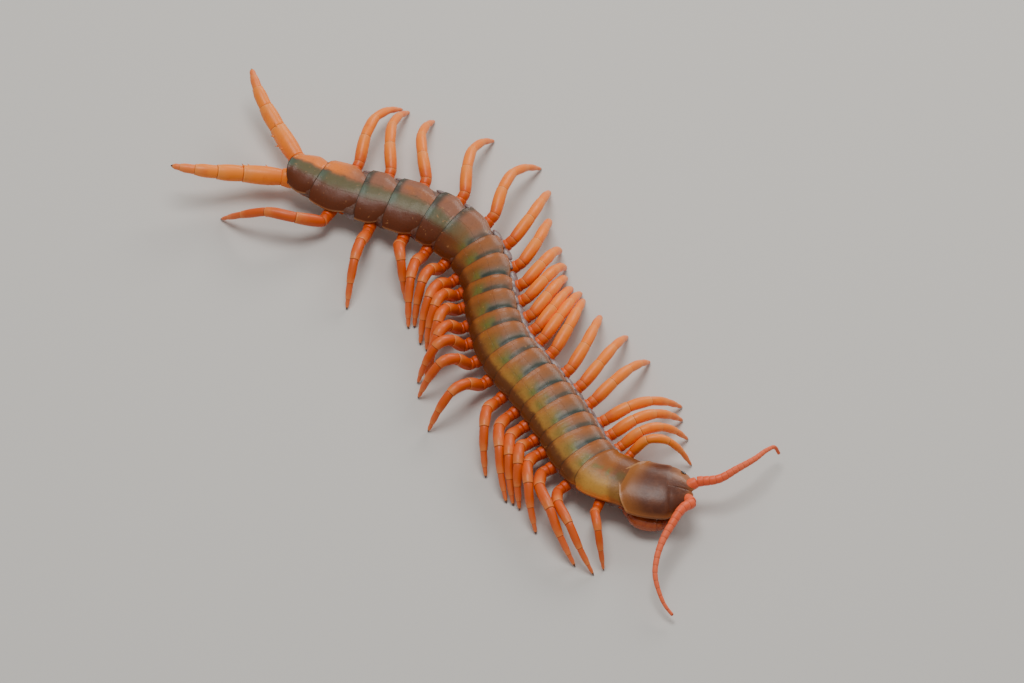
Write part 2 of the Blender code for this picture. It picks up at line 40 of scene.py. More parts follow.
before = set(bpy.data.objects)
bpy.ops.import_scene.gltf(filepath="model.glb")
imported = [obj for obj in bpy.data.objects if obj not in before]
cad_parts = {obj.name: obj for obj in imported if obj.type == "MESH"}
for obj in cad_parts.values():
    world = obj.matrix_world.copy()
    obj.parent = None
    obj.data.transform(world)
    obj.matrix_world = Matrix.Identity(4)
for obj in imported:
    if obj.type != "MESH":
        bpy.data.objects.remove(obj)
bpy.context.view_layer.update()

MM = 0.001
UP = Vector((0, 0, 1))
GAP = 0.3 * MM
LEAD = 1.5 * MM
WELD = 0.004 * MM
GRAIN_DEPTH = 0.12 * MM
SEGMENTS = 21
SHORT_PLATES = (2, 4, 6, 9, 11, 13, 15, 17, 19)
TRUNK_NODES = ("trunk_01_to_03", "trunk_04_to_06", "trunk_07_to_09", "trunk_10_to_12", "trunk_13_to_15",
               "trunk_16_to_18", "trunk_19_to_21")
SIDES = ((1, "left"), (-1, "right"))
# The values that colour a limb: share of its length, depth of a joint, place in the article.
LIMB_VALUES = ("share", "joint", "place")
# The values that colour a back plate: place from right to left and along the body, mm from the lip of the
# plate in front and from its own lip, and how strong its dark band and its painted grey sheen are.
PLATE_VALUES = ("across", "body", "front_mm", "rear_mm", "band")

# The middle line of the trunk seen from above and the sizes along it, the same numbers the frame was built
# from.
SPINE = ((-15.4, -78), (-18, -70.5), (-17.2, -62), (-13.4, -51), (-9.3, -36), (-4.5, -15), (4, -1),
         (12, 9.5), (16.8, 23), (16.2, 37), (11, 51), (4.5, 65), (-0.5, 81.5))
POSE_SHIFT = Vector((-7.8, 0.6, 0)) * MM
HALF_WIDTH = ((0, 8.6), (0.06, 9.3), (0.3, 9.1), (0.5, 8.3), (0.72, 8.9), (0.9, 8.6), (1, 6.9))
ROLL = ((0, 2), (0.12, 9), (0.35, 15), (0.52, 23), (0.66, 18), (0.8, 9), (1, 3))
AXIS_HEIGHT = ((0, 8.2), (0.3, 8.9), (0.52, 9.6), (0.8, 8.6), (1, 8.2))
LONG_PLATES = ((1, 10.6), (3, 7.4), (7, 8.1), (14, 8.3), (16, 12.2), (18, 13.8), (20, 15.4), (21, 9.4))
SHORT_SHARE = 0.72

# A back plate: its width and height along its length, and how far its rear corners stand out along the body.
PLATE_TOP = 4.7
PLATE_MARGIN = 1.1
PLATE_ARCH = (2.5, 0.72)
PLATE_BOW = ((-0.2, 0.9), (0.0, 0.925), (0.2, 0.972), (0.55, 1.0), (0.88, 1.0), (1.04, 0.972))
PLATE_RISE = ((-0.2, 0.86), (0.0, 0.9), (0.16, 0.96), (0.5, 0.985), (0.88, 1.0), (1.04, 1.025))
NECK_WIDTH_AT = 6 * MM
CORNER_FLARE = ((0, 0), (0.5, 0.1), (0.68, 0.8), (0.8, 1), (0.93, 1), (1, 0.6))
FIRST_PLATE_FRONT = 1.2
FIRST_PLATE_BULGE = 1.3 * MM
LAST_PLATE_BULGE = 0.24

# The soft skin between back and belly: half a section, (share of the half width, height over the axis in mm).
SKIN_SECTION = ((0, 4.1), (0.4, 3.8), (0.7, 2.9), (0.88, 1.9), (0.95, 1.0), (0.93, 0.3), (0.88, -0.5),
                (0.82, -1.5), (0.74, -2.8), (0.6, -3.7), (0.35, -4.1), (0, -4.1))
SKIN_HALF = 8.5
BELLY_HALF = 0.56
SKIN_AHEAD = 1.5 * MM
SKIN_BEHIND = 0.5 * MM
BELLY_HEIGHT = -4.2
BELLY_GAP = 0.25 * MM

SPIRACLES = (3, 5, 8, 10, 12, 14, 16, 18, 20)
SPIRACLE_FLAT = 0.62
# Rings of a breathing hole: (mm along its stalk, size, darkness, which paints shade into its pit).
SPIRACLE_RINGS = ((0, 0.85, 0), (0.7, 0.8, 0), (0.95, 0.66, 0.1), (1.0, 0.5, 0.6), (0.9, 0.36, 1),
                  (0.7, 0.2, 1))
# Side shields of a segment: (share of its length, mm past the half width, height, half sizes along, up, out).
SIDE_SHIELDS = ((0.06, 0.3, 0.0, (2.5, 1.6, 0.7)), (0.6, 0.1, 0.3, (1.9, 1.2, 0.6)))
SHIELD_TUCK = {1: 0, -1: 1.3}

COXA_INNER = (0.3, -2.2 * MM)
COXA_END_OUT = 1.6 * MM
COXA_END_HEIGHT = -1.3 * MM
COXA_LEAN = 0.45
COXA_LEAN_LIMIT = 14
FIRST_COXA_LEAN_LIMIT = 27
COXA_LEAN_ARM = 0.4
SMALL_LEGS = {1: 0.8, 2: 0.9}
# How far each leg from the first to the twentieth points forward, and its reach.
LEFT_GAIT = ((60, 19.5), (13, 23.5), (-2, 26), (-2, 28), (-22, 30), (-30, 31.5), (-38, 31.5), (-35, 31),
             (-33, 30), (-43, 27.5), (-50, 26.5), (-48, 25.5), (-56, 26), (-59, 29), (-44, 33), (-24, 34),
             (-20, 34), (-18, 34), (-9, 34), (0, 34))
RIGHT_GAIT = ((31, 19), (72, 30.5), (78, 34), (64, 26.5), (52, 22.5), (54, 26), (55, 30.5), (46, 27),
              (10, 23.5), (10, 20), (24, 19.5), (44, 20.5), (61, 22.5), (51, 22), (42, 24.5), (30, 23),
              (27, 27.5), (27, 20.5), (6, 28.5), (-72, 34))
LEG_RADIUS = 1.65
HIP_SHARE = 0.1
KNEE_SHARE = 0.4
KNEE_HEIGHT = 12.2 * MM
KNEE_RISE = 2.6 * MM
STRAIGHT_REACH = 27 * MM
KNEE_LIFT = 0.3
KNEE_BOW = -0.13
REAR_BOW = -0.085
REAR_BOW_FROM = 16
SHANK_SHARE = 0.76
SHANK_BOW = 0.7
SHANK_HEIGHT_SHARE = 0.6
TIP_HEIGHT = 0.12 * MM
# Articles of a walking leg: (share of the length where it ends, size at its root, belly and end).
LEG_ARTICLES = ((0.05, 1.06, 1.1, 1.1), (0.285, 1.08, 1.2, 1.1), (0.523, 1.03, 1.08, 0.93),
                (0.742, 0.86, 0.87, 0.72), (0.89, 0.66, 0.64, 0.5), (0.972, 0.45, 0.4, 0.26))
JOINT_SOFTNESS = 3.4 * MM
# Rings of one article: (share of its length, how much of its belly it has, dip and shade of the joint there).
ARTICLE_RINGS = ((0.0, 0, 1), (0.012, 0, 0.75), (0.03, 0.02, 0.2), (0.06, 0.1, 0), (0.16, 0.5, 0),
                 (0.32, 0.9, 0), (0.5, 1, 0), (0.68, 0.85, 0), (0.82, 0.45, 0), (0.9, 0.2, 0),
                 (0.95, 0.12, 0), (0.975, 0.1, 0), (0.992, 0.02, 0.35))
JOINT_DIP = 0.06
ROOT_JOINT = 0.1
# The bead before an article's end: its size, its place and half its length, as shares.
END_BEAD = (0.02, 0.965, 0.03)
CLAW_SIZE = 0.27

ULTIMATE_LEFT = ((3.4, 86.2, 8), (5.9, 95, 9), (8.1, 103.4, 11), (10.8, 111, 13), (13.6, 116.4, 14.2),
                 (15.4, 119.3, 14.4))
ULTIMATE_RIGHT = ((-5.6, 84, 8), (-11.8, 90.6, 9.2), (-19.2, 95.6, 11.8), (-25, 100.6, 13.8),
                  (-29, 105, 14.8), (-30.8, 108, 14.8))
ULTIMATE_RADIUS = 2.7
ULTIMATE_ARTICLES = ((0.345, 0.98, 1.12, 1.0), (0.58, 0.94, 0.99, 0.86), (0.78, 0.79, 0.8, 0.64),
                     (0.91, 0.58, 0.56, 0.43), (0.975, 0.4, 0.37, 0.24))
ULTIMATE_CLAW_SIZE = 0.24
# Spines of a last leg: (share of its length, degrees from straight up towards the other leg).
ULTIMATE_SPINES = ((0.1, 70), (0.18, 110), (0.26, 80), (0.31, 20))
SPINE_LENGTH = 1.5 * MM
SPINE_PLACES = (0, 0.2, 0.4, 0.6, 0.8, 0.92, 1)
TAIL_STUB_LENGTH = 5.5 * MM

# Rings of the stubs that carry the limbs: (mm before the stub's end, size, darkness).
HIP_RINGS = ((5.4, 1.6, 0), (4.2, 1.85, 0), (3.0, 2.0, 0), (2.0, 2.0, 0), (1.2, 1.97, 0), (0.6, 1.95, 0),
             (0.25, 1.94, 0), (0.02, 1.9, 0), (-0.1, 1.78, 0), (-0.26, 1.62, 0))
LAST_HIP_RINGS = ((6, 2.6, 0), (4.5, 3.15, 0), (3, 3.3, 0), (1.8, 3.15, 0), (0.9, 2.95, 0), (0.4, 2.85, 0),
                  (0.05, 2.75, 0.2), (-0.1, 2.5, 0.4), (-0.26, 2.2, 0.4))
SOCKET_RINGS = ((5.4, 1.6, 0), (3.6, 1.85, 0), (2.2, 1.9, 0), (1.2, 1.85, 0), (0.5, 1.78, 0), (0.1, 1.7, 0.2),
                (-0.1, 1.55, 0.5), (-0.26, 1.4, 0.5))
JAW_STUB_RINGS = ((4, 1.7, 0), (2.6, 2.1, 0), (1.4, 2.15, 0), (0.6, 2.05, 0.1), (0.1, 1.85, 0.6),
                  (-0.1, 1.6, 1))

HEAD_LENGTH = 21 * MM
HEAD_TURN = 17
NECK_LENGTH = 5 * MM
# The head along its length: (share, half width in mm, top height in mm, rim height in mm).
HEAD_RINGS = ((0, 8.7, 3.9, 0.6), (0.04, 9.3, 4.2, 0.6), (0.16, 10, 4.65, 0.5), (0.34, 10.2, 4.8, 0.4),
              (0.54, 10.1, 4.7, 0.3), (0.7, 9.4, 4.2, 0.3), (0.82, 8.2, 3.5, 0.4), (0.91, 6.7, 2.8, 0.5),
              (0.97, 5.1, 2.2, 0.5), (1, 3.9, 1.7, 0.5))
HEAD_ARCH = (2.2, 0.62)
HEAD_UNDERSIDE = -0.6
HEAD_WALL = 0.25 * MM
PALP_PATH = ((0.5, 1.6, -2.0), (0.6, 2.3, -2.6), (0.72, 2.2, -2.9), (0.8, 1.3, -2.9))
PALP_ARTICLES = ((0.4, 0.7, 0.95, 0.8), (0.72, 0.7, 0.85, 0.7), (0.97, 0.6, 0.66, 0.4))
PALP_RADIUS = 0.85
ANTENNA_ROOT = (0.94, 2.5, 1.1)
ANTENNA_WAY_LEFT = (0.85, 0.42, 0.3)
ANTENNA_WAY_RIGHT = (0.58, 0.68, 0.44)
ANTENNA_ROOT_LENGTH = 2.7 * MM
SOCKET_DEPTH = 2.4 * MM
ANTENNA_LEFT = ((4.6, -98.9, 11.5), (10.5, -100.6, 12.4), (17.3, -101.6, 12), (24.1, -101, 10),
                (27, -101, 8.5), (28.2, -102, 5))
ANTENNA_RIGHT = ((-11.5, -99.2, 12.2), (-18.6, -101, 11.8), (-24.4, -102.9, 11), (-29.5, -105.6, 10),
                 (-33.7, -109, 8.5), (-36.1, -113, 6.5), (-37.5, -117, 4.5), (-37.7, -120.5, 3))
ANTENNA_RADIUS = (1.7, 0.5)
ANTENNA_ARTICLES = 18
# Rings of an antenna's article (share of its length, size, darkness), and of its round tip (share, radius).
ANTENNA_RINGS = ((0.0, 0.91, 1), (0.07, 0.94, 0.5), (0.2, 0.98, 0), (0.5, 1.0, 0), (0.8, 1.01, 0),
                 (0.93, 0.98, 0.1))
ANTENNA_TIP = ((0.985, 0.46), (0.995, 0.34), (1, 0.18))
OCELLI_PLACE = (0.85, 6.6 * MM, 1.75)
OCELLI_LOOK = (0.62, 0.62, 0.48)
OCELLI_OUT = 0.3 * MM
OCELLUS_RADIUS = 0.42 * MM
OCELLUS_SPREAD = 0.52 * MM
OCELLUS_FLAT = 0.7

JAW_BASE_RINGS = ((0, 7.2), (2.5, 7), (4.5, 5.6), (7, 4.6), (10, 3.8), (11.2, 3))
JAW_BASE_MIDDLE = -2.7
JAW_BASE_TALL = 1.6
JAW_GROOVE = 0.28
JAW_STUB = ((2, 4.4), (5.2, 7.8))
JAW_STUB_RISE = 0.5
JAW_PATH = ((8.6, 9.6), (12.2, 9.4), (15.4, 7.4), (17.4, 4.4), (18.2, 1.3))
JAW_HEIGHT = -3.4
JAW_RADIUS = 2.15
JAW_ARTICLES = ((0.42, 0.84, 1.02, 0.86), (0.49, 0.8, 0.84, 0.78), (0.555, 0.74, 0.78, 0.7))
# Four teeth a side: mm ahead of the neck for root and tip and mm to the side, each with its step to the next.
TEETH = 4
TOOTH_ROOT, TOOTH_ROOT_STEP = 10.6, -0.25
TOOTH_TIP, TOOTH_TIP_STEP = 12.3, -0.35
TOOTH_SIDE, TOOTH_SIDE_STEP = 0.55, 0.62
TOOTH_RADIUS = 0.42
TOOTH_PLACES = (0, 0.3, 0.55, 0.75, 0.9, 1)

CAMERA_TARGET = Vector((-3.95, -9.7, 0)) * MM
CAMERA_VIEW = (315, 52)
CAMERA_DISTANCE = 2.0
CAMERA_LENS = 225
CAMERA_CLIP = (0.01, 20)
FLOOR_SIZE = 4
FLOOR_DROP = 0.02 * MM
FLOOR_COLOUR = (0.62, 0.61, 0.59)
FLOOR_ROUGHNESS = 0.9
ROOM_COLOUR = (1, 0.98, 0.95, 1)
ROOM_STRENGTH = 0.36
# Soft lights: (name, place, width, height, watts, colour).
LIGHTS = (("overhead_light", (0.1, 0.15, 1.1), 0.6, 0.6, 8, (1, 0.97, 0.93)),
          ("left_light", (1.0, 0.3, 0.6), 0.8, 0.5, 6, (1, 0.96, 0.9)))

# Columns and rows of the sheets, and points round the small limbs.
HEAD_GRID, CORE_GRID, JAW_GRID, BELLY_GRID = (96, 80), (72, 60), (72, 50), (28, 16)
POINTS_ROUND = {"claw": 12, "tooth": 12, "spine": 10, "palp": 16, "breathing hole": 20, "antenna": 24,
                "socket": 28, "jaw stub": 28, "poison claw": 32, "last hip": 36}

# Colours of the finishes: what each is for, and its red, green and blue.
TONES = {
    "back_brown": ("Brown of the back plates' left half", (0.27, 0.095, 0.028)),
    # The grey mauve of the plates' left margins is a painted sky sheen, on the side the light comes from.
    "far_mauve_sheen": ("Grey mauve of the back plates' left margins", (0.2, 0.1, 0.07)),
    "near_ochre": ("Olive ochre of the front plates' right half", (0.36, 0.17, 0.03)),
    "near_brown": ("Orange brown of the middle plates' right half", (0.22, 0.075, 0.014)),
    "edge_orange": ("Orange of the plates' rear margins", (0.44, 0.12, 0.02)),
    # This dark red brown is partly painted shade, on the plates' right sides, under the head and in the skin's
    # creases, and partly the skin's and side shields' own dark brown.
    "flank_dark": ("Dark red brown of the plates' right sides", (0.11, 0.03, 0.009)),
    "band_green": ("Green patches beside the crescents", (0.13, 0.15, 0.03)),
    # The grey blue in front of the crescents is a painted sky reflection on the front slope of each plate.
    "band_grey_sheen": ("Grey blue in front of the crescents", (0.115, 0.12, 0.1)),
    # The dark teal crescents are partly the plates' own dark front band and partly painted shadow under the
    # lip of the plate in front.
    "band_dark": ("Dark teal of the crescents at the joins", (0.036, 0.046, 0.036)),
    "tail_olive": ("Olive middle stripe of the rear plates", (0.12, 0.1, 0.045)),
    "tail_teal": ("Teal at the rear ends of that stripe", (0.07, 0.1, 0.065)),
    "tail_near": ("Red brown of the rear plates' right side", (0.12, 0.028, 0.008)),
    # The mauve of the rear plates' left side is their red brown with a painted sky sheen, on the side the
    # light comes from.
    "tail_far_sheen": ("Mauve brown of the rear plates' left side", (0.27, 0.11, 0.065)),
    "neck_orange": ("Orange of the first plate", (0.3, 0.09, 0.012)),
    "neck_ochre": ("Yellow ochre of the first plate's right side", (0.5, 0.25, 0.04)),
    "seam_dark": ("Near black of seams and sutures", (0.025, 0.02, 0.015)),
    "rim_pale": ("Pale ochre of the plate margins", (0.5, 0.24, 0.09)),
    "belly": ("Dull amber of the belly plates", (0.36, 0.17, 0.07)),
    "membrane": ("Grey lavender of the side shields", (0.27, 0.2, 0.2)),
    "membrane_dark": ("Deeper grey of the side shields", (0.1, 0.07, 0.07)),
    "skin_brown": ("Grey brown of the soft skin of the flanks", (0.15, 0.08, 0.06)),
    "leg_orange": ("Bright orange of the legs", (1.0, 0.23, 0.012)),
    # On the right legs this red orange is painted shade: the same orange legs, darker and redder on the side
    # away from the light.
    "leg_red": ("Red orange of the right legs", (0.62, 0.075, 0.006)),
    "leg_yellow": ("Yellow orange of the last legs", (1.0, 0.25, 0.01)),
    "leg_deep": ("Deeper orange of the legs' roots", (0.72, 0.095, 0.005)),
    "leg_pale": ("Pale orange near the articles' ends", (0.95, 0.4, 0.1)),
    "leg_foot": ("Pinker orange of the feet", (0.9, 0.2, 0.06)),
    "claw_brown": ("Brown of the legs' points", (0.2, 0.05, 0.015)),
    "joint_dark": ("Dark red brown of joint lines", (0.16, 0.035, 0.012)),
    "antenna_coral": ("Coral red of the antennae", (0.92, 0.13, 0.045)),
    "antenna_tip": ("Duller pink of the hairy articles", (0.85, 0.19, 0.085)),
    "head_maroon": ("Dark maroon of the head shield", (0.09, 0.022, 0.008)),
    "head_brown": ("Red brown of the head shield", (0.14, 0.038, 0.012)),
    "head_rear": ("Ochre brown of the shield's rear", (0.34, 0.115, 0.02)),
    "head_front": ("Lighter brown of the front lobes", (0.38, 0.13, 0.035)),
    "jaw_orange": ("Orange brown of the poison claws", (0.42, 0.09, 0.02)),
    "jaw_red": ("Red of the poison claws", (0.3, 0.04, 0.012)),
    "claw_black": ("Black of claw points and eyes", (0.012, 0.009, 0.008)),
    "eye_sheen": ("Grey sheen of the lenses", (0.05, 0.05, 0.06)),
}
GLOSSES = {"back_gloss": ("Roughness of the back plates", 0.4), "leg_gloss": ("Roughness of the legs", 0.44),
           "head_gloss": ("Roughness of the head shield", 0.36)}


def clamp(value, low=0, high=1):
    return min(max(value, low), high)


def ease(value):
    value = clamp(value)
    return value * value * (3 - 2 * value)


def bell(value, width):
    """1 at 0, and nearly 0 from twice the width on."""
    return math.exp(-(value / width) ** 2)


def arch(across, square, rise):
    """Height of an arch, 1 in the middle and 0 at its sides."""
    return (1 - min(abs(across), 1) ** square) ** rise


def crowded(u):
    """A place across from -1 to 1, with the columns closer together towards the sides."""
    return math.sin((u * 2 - 1) * math.pi / 2)


def between(stops, share):
    """Reads a value from (share, value) stops, eased between them."""
    if share <= stops[0][0]:
        return stops[0][1]
    for (share_a, value_a), (share_b, value_b) in zip(stops, stops[1:]):
        if share <= share_b:
            return value_a + (value_b - value_a) * ease((share - share_a) / (share_b - share_a))
    return stops[-1][1]


def smooth_line(points, steps=16):
    """A smooth line through the points. It leaves the first and reaches the last one straight."""
    spans = [(b - a).length for a, b in zip(points, points[1:])]
    slopes = [(b - a) / span for a, b, span in zip(points, points[1:], spans)]
    tangents = [slopes[0]]
    for index in range(1, len(spans)):
        ahead, behind = spans[index], spans[index - 1]
        tangents.append((slopes[index - 1] * ahead + slopes[index] * behind) / (ahead + behind))
    tangents.append(slopes[-1])
    line = []
    for index, span in enumerate(spans):
        for step in range(steps):
            t = step / steps
            rest = 1 - t
            line.append(points[index] * (1 + 2 * t) * rest * rest + tangents[index] * span * t * rest * rest
                        + points[index + 1] * t * t * (3 - 2 * t) - tangents[index + 1] * span * t * t * rest)
    line.append(points[-1].copy())
    return line


def jointed_line(points, soften, steps=6):
    """Straight articles from joint to joint, with each corner rounded over a short length."""
    line = [points[0]]
    for before, corner, after in zip(points, points[1:], points[2:]):
        room = min(soften, (before - corner).length * 0.49, (after - corner).length * 0.49)
        start = corner + (before - corner).normalized() * room
        end = corner + (after - corner).normalized() * room
        for step in range(steps + 1):
            t = step / steps
            line.append(start.lerp(corner, t).lerp(corner.lerp(end, t), t))
    line.append(points[-1])
    return line


class Line:
    """A line through close points, measured by its length and carried on straight past its ends."""

    def __init__(self, points):
        self.points = points
        self.marks = [0]
        for a, b in zip(points, points[1:]):
            self.marks.append(self.marks[-1] + (b - a).length)
        self.length = self.marks[-1]

    def at(self, distance):
        index = clamp(bisect_right(self.marks, distance) - 1, 0, len(self.marks) - 2)
        span = self.marks[index + 1] - self.marks[index]
        share = (distance - self.marks[index]) / span
        return self.points[index] + (self.points[index + 1] - self.points[index]) * share

    def direction(self, distance, step=0.4 * MM):
        return (self.at(distance + step) - self.at(distance - step)).normalized()


def smooth_table(rows):
    """A function that reads a smooth value from (place, value) rows."""
    line = smooth_line([Vector((place, value, 0)) for place, value in rows])
    places = [point.x for point in line]

    def read(place):
        index = clamp(bisect_right(places, place) - 1, 0, len(places) - 2)
        low, high = line[index], line[index + 1]
        return low.y + (high.y - low.y) * clamp((place - low.x) / (high.x - low.x))

    return read


SPINE_LINE = Line(smooth_line([Vector((x * MM, y * MM, 0)) + POSE_SHIFT for x, y in SPINE]))


def plate_starts():
    """Distances from the neck where the segments begin, and where the last one ends."""
    lengths = []
    for number in range(1, SEGMENTS + 1):
        share = SHORT_SHARE if number in SHORT_PLATES else 1
        lengths.append(between(LONG_PLATES, number) * share)
    scale = SPINE_LINE.length / sum(lengths)
    starts = [0]
    for length in lengths:
        starts.append(starts[-1] + length * scale)
    return starts


STARTS = plate_starts()


def trunk_frame(distance):
    """Centre, left, up and forward directions of the trunk at a distance from the neck."""
    share = distance / SPINE_LINE.length
    forward = -SPINE_LINE.direction(clamp(distance, 0, SPINE_LINE.length))
    left = Matrix.Rotation(math.radians(between(ROLL, share)), 3, forward) @ UP.cross(forward)
    centre = SPINE_LINE.at(distance)
    centre.z = between(AXIS_HEIGHT, share) * MM
    return centre, left, forward.cross(left), forward


def half_width(distance):
    return between(HALF_WIDTH, distance / SPINE_LINE.length)


FRAME_STEP = 0.25 * MM
FRAME_FIRST = -9 * MM
FRAME_SPARE = 17 * MM
TRUNK_FRAMES = [trunk_frame(FRAME_FIRST + index * FRAME_STEP)
                for index in range(int((SPINE_LINE.length + FRAME_SPARE) / FRAME_STEP))]


def trunk_point(distance, sideways, height):
    """A point of the trunk from its distance along it, mm to the left and mm over the axis."""
    place = (distance - FRAME_FIRST) / FRAME_STEP
    index = clamp(int(place), 0, len(TRUNK_FRAMES) - 2)
    low, high, share = TRUNK_FRAMES[index], TRUNK_FRAMES[index + 1], place - index
    centre, left, up = (low[part].lerp(high[part], share) for part in range(3))
    return centre + left * sideways * MM + up * height * MM


def coxa_frame(number, side):
    """Where a leg leaves the trunk: its hip's two ends, level directions, and its gait."""
    distance = (STARTS[number - 1] + STARTS[number]) / 2
    centre, left, up, forward = trunk_frame(distance)
    half = half_width(distance) * MM
    swing, reach = (LEFT_GAIT if side > 0 else RIGHT_GAIT)[number - 1]
    out = left * side
    inner = centre + out * half * COXA_INNER[0] + up * COXA_INNER[1]
    end = centre + out * (half + COXA_END_OUT) + up * COXA_END_HEIGHT
    level_out = Vector((out.x, out.y, 0)).normalized()
    level_forward = Vector((forward.x, forward.y, 0)).normalized()
    limit = FIRST_COXA_LEAN_LIMIT if number == 1 else COXA_LEAN_LIMIT
    lean = math.radians(clamp(swing * COXA_LEAN, -limit, limit))
    end = end + level_forward * math.tan(lean) * half * COXA_LEAN_ARM
    return inner, end, level_out, level_forward, swing, reach


def leg_points(number, side):
    """The joints' line of a walking leg, from its hip up to the knee and down to the floor."""
    inner, end, out, forward, swing, reach = coxa_frame(number, side)
    axis = (end - inner).normalized()
    root = end + axis * GAP
    turn = math.radians(swing)
    way = out * math.cos(turn) + forward * math.sin(turn)
    across = forward * math.cos(turn) - out * math.sin(turn)
    reach *= MM
    foot = root + way * reach
    foot.z = TIP_HEIGHT
    rearward = side > 0 and number >= REAR_BOW_FROM
    bow = across * reach * (REAR_BOW if rearward else KNEE_BOW * math.sin(turn))
    knee = root + way * reach * KNEE_SHARE + bow
    lift = max(0, STRAIGHT_REACH - reach) * KNEE_LIFT
    knee.z = max(KNEE_HEIGHT, root.z + KNEE_RISE) + lift
    shank = root + way * reach * SHANK_SHARE + bow * SHANK_BOW
    shank.z = knee.z * SHANK_HEIGHT_SHARE
    return [root, root + axis * reach * HIP_SHARE, knee, shank, foot]


def points_in_metres(points):
    return [Vector(point) * MM + POSE_SHIFT for point in points]


def head_line():
    """The bent middle line of the head with its up direction."""
    centre, left, up, forward = trunk_frame(0)
    start = centre + forward * GAP
    turned = Matrix.Rotation(math.radians(HEAD_TURN), 3, up) @ forward
    bend = start + forward * NECK_LENGTH
    return Line(smooth_line([start, bend, bend + turned * (HEAD_LENGTH - NECK_LENGTH)])), up


HEAD_LINE, HEAD_UP = head_line()
HEAD_HALF, HEAD_TOP, HEAD_RIM = (smooth_table([(row[0], row[column]) for row in HEAD_RINGS])
                                 for column in (1, 2, 3))
JAW_BASE_HALF = smooth_table(JAW_BASE_RINGS)


def head_frame(share):
    ahead = HEAD_LINE.direction(clamp(share) * HEAD_LINE.length)
    return HEAD_LINE.at(share * HEAD_LINE.length), HEAD_UP.cross(ahead), ahead


def head_point(share, outward, height):
    """A point of the head from its share of the length, mm to the left and mm over the axis."""
    centre, left, ahead = head_frame(share)
    return centre + left * outward * MM + HEAD_UP * height * MM


def antenna_points(side):
    """Where an antenna's socket starts and ends, its direction, and the line through the antenna's bends."""
    share, outward, height = ANTENNA_ROOT
    seat = head_point(share, outward * side, height)
    centre, left, forward = head_frame(share)
    ahead, aside, rise = ANTENNA_WAY_LEFT if side > 0 else ANTENNA_WAY_RIGHT
    axis = (forward * ahead + left * side * aside + HEAD_UP * rise).normalized()
    root = seat + axis * ANTENNA_ROOT_LENGTH
    bends = points_in_metres(ANTENNA_LEFT if side > 0 else ANTENNA_RIGHT)
    return seat, root, axis, [root + axis * GAP] + bends


def jaw_point(ahead, outward, height):
    return head_point(ahead * MM / HEAD_LENGTH, outward, height)


def value_layers(bm, names):
    return [bm.verts.layers.float.get(name) or bm.verts.layers.float.new(name) for name in names]


def bent_sheet(columns, rows, place, names=()):
    """A grid bent to shape. Place gives each point and its named values for two numbers from 0 to 1."""
    bm = bmesh.new()
    layers = value_layers(bm, names)
    for vertex in bmesh.ops.create_grid(bm, x_segments=columns, y_segments=rows, size=1)["verts"]:
        vertex.co, values = place((vertex.co.x + 1) / 2, (vertex.co.y + 1) / 2)
        for layer, value in zip(layers, values):
            vertex[layer] = value
    return bm


def face_away(bm, inside):
    """Turns an open sheet so that its faces look away from a point inside the body."""
    bm.normal_update()
    if sum(face.normal.dot(face.calc_center_median() - inside) for face in bm.faces) < 0:
        bmesh.ops.reverse_faces(bm, faces=bm.faces)


def close_tube(bm):
    """Welds the seam of a sheet that was bent to a tube, fills its ends and turns its faces outwards."""
    bmesh.ops.remove_doubles(bm, verts=bm.verts, dist=WELD)
    rim = [edge for edge in bm.edges if edge.is_boundary]
    if rim:
        bmesh.ops.holes_fill(bm, edges=rim)
    bmesh.ops.recalc_face_normals(bm, faces=bm.faces)


def axes_matrix(across, up, ahead):
    return Matrix((across, up, ahead)).transposed().to_4x4()


def limb(line, rings, sides, bm=None, up=UP, flat=1.0, names=LIMB_VALUES):
    """A closed limb: a circle extruded along a line. A ring is a distance, a radius in mm and its values."""
    bm = bm or bmesh.new()
    layers = value_layers(bm, names)
    ring = bmesh.ops.create_circle(bm, cap_ends=True, segments=sides, radius=1)["verts"]
    edges = list({edge for vertex in ring for edge in vertex.link_edges})
    last = Matrix.Identity(4)
    made = list(ring)
    for index, (distance, radius, values) in enumerate(rings):
        if index:
            grown = bmesh.ops.extrude_edge_only(bm, edges=edges)["geom"]
            ring = [item for item in grown if isinstance(item, bmesh.types.BMVert)]
            members = set(ring)
            edges = [item for item in grown if isinstance(item, bmesh.types.BMEdge)
                     and item.verts[0] in members and item.verts[1] in members]
            made += ring
        ahead = line.direction(distance)
        up = (up - ahead * up.dot(ahead)).normalized()
        size = Matrix.Diagonal((radius * MM, radius * MM * flat, 1, 1))
        matrix = Matrix.Translation(line.at(distance)) @ axes_matrix(up.cross(ahead), up, ahead) @ size
        bmesh.ops.transform(bm, matrix=matrix @ last.inverted(), verts=ring)
        for vertex in ring:
            for layer, value in zip(layers, values):
                vertex[layer] = value
        last = matrix
    bmesh.ops.holes_fill(bm, edges=edges)
    faces = list({face for vertex in made for face in vertex.link_faces})
    bmesh.ops.recalc_face_normals(bm, faces=faces)
    return bm


def article_rings(articles, radius, length):
    """Rings of a jointed limb. Each article swells from its root, and its end stands over the next root."""
    rings = []
    begin = 0
    for stop, root, belly, end in articles:
        for place, swell, joint in ARTICLE_RINGS:
            joint *= ROOT_JOINT if begin == 0 and place < 0.5 else 1
            ends = root + (end - root) * ease(place)
            size = (ends + (belly - ends) * swell) * (1 - JOINT_DIP * joint)
            size += END_BEAD[0] * max(0, 1 - abs(place - END_BEAD[1]) / END_BEAD[2])
            share = begin + (stop - begin) * place
            rings.append((share * length, size * radius, (share, joint, place)))
        begin = stop
    return rings


def stub_rings(line, table, share, place, scale=1):
    """Rings of a stub that carries a limb."""
    return [(line.length - back * MM, size * scale, (share, joint, place)) for back, size, joint in table]


def linked(name, data):
    thing = bpy.data.objects.new(name, data)
    bpy.context.scene.collection.objects.link(thing)
    return thing


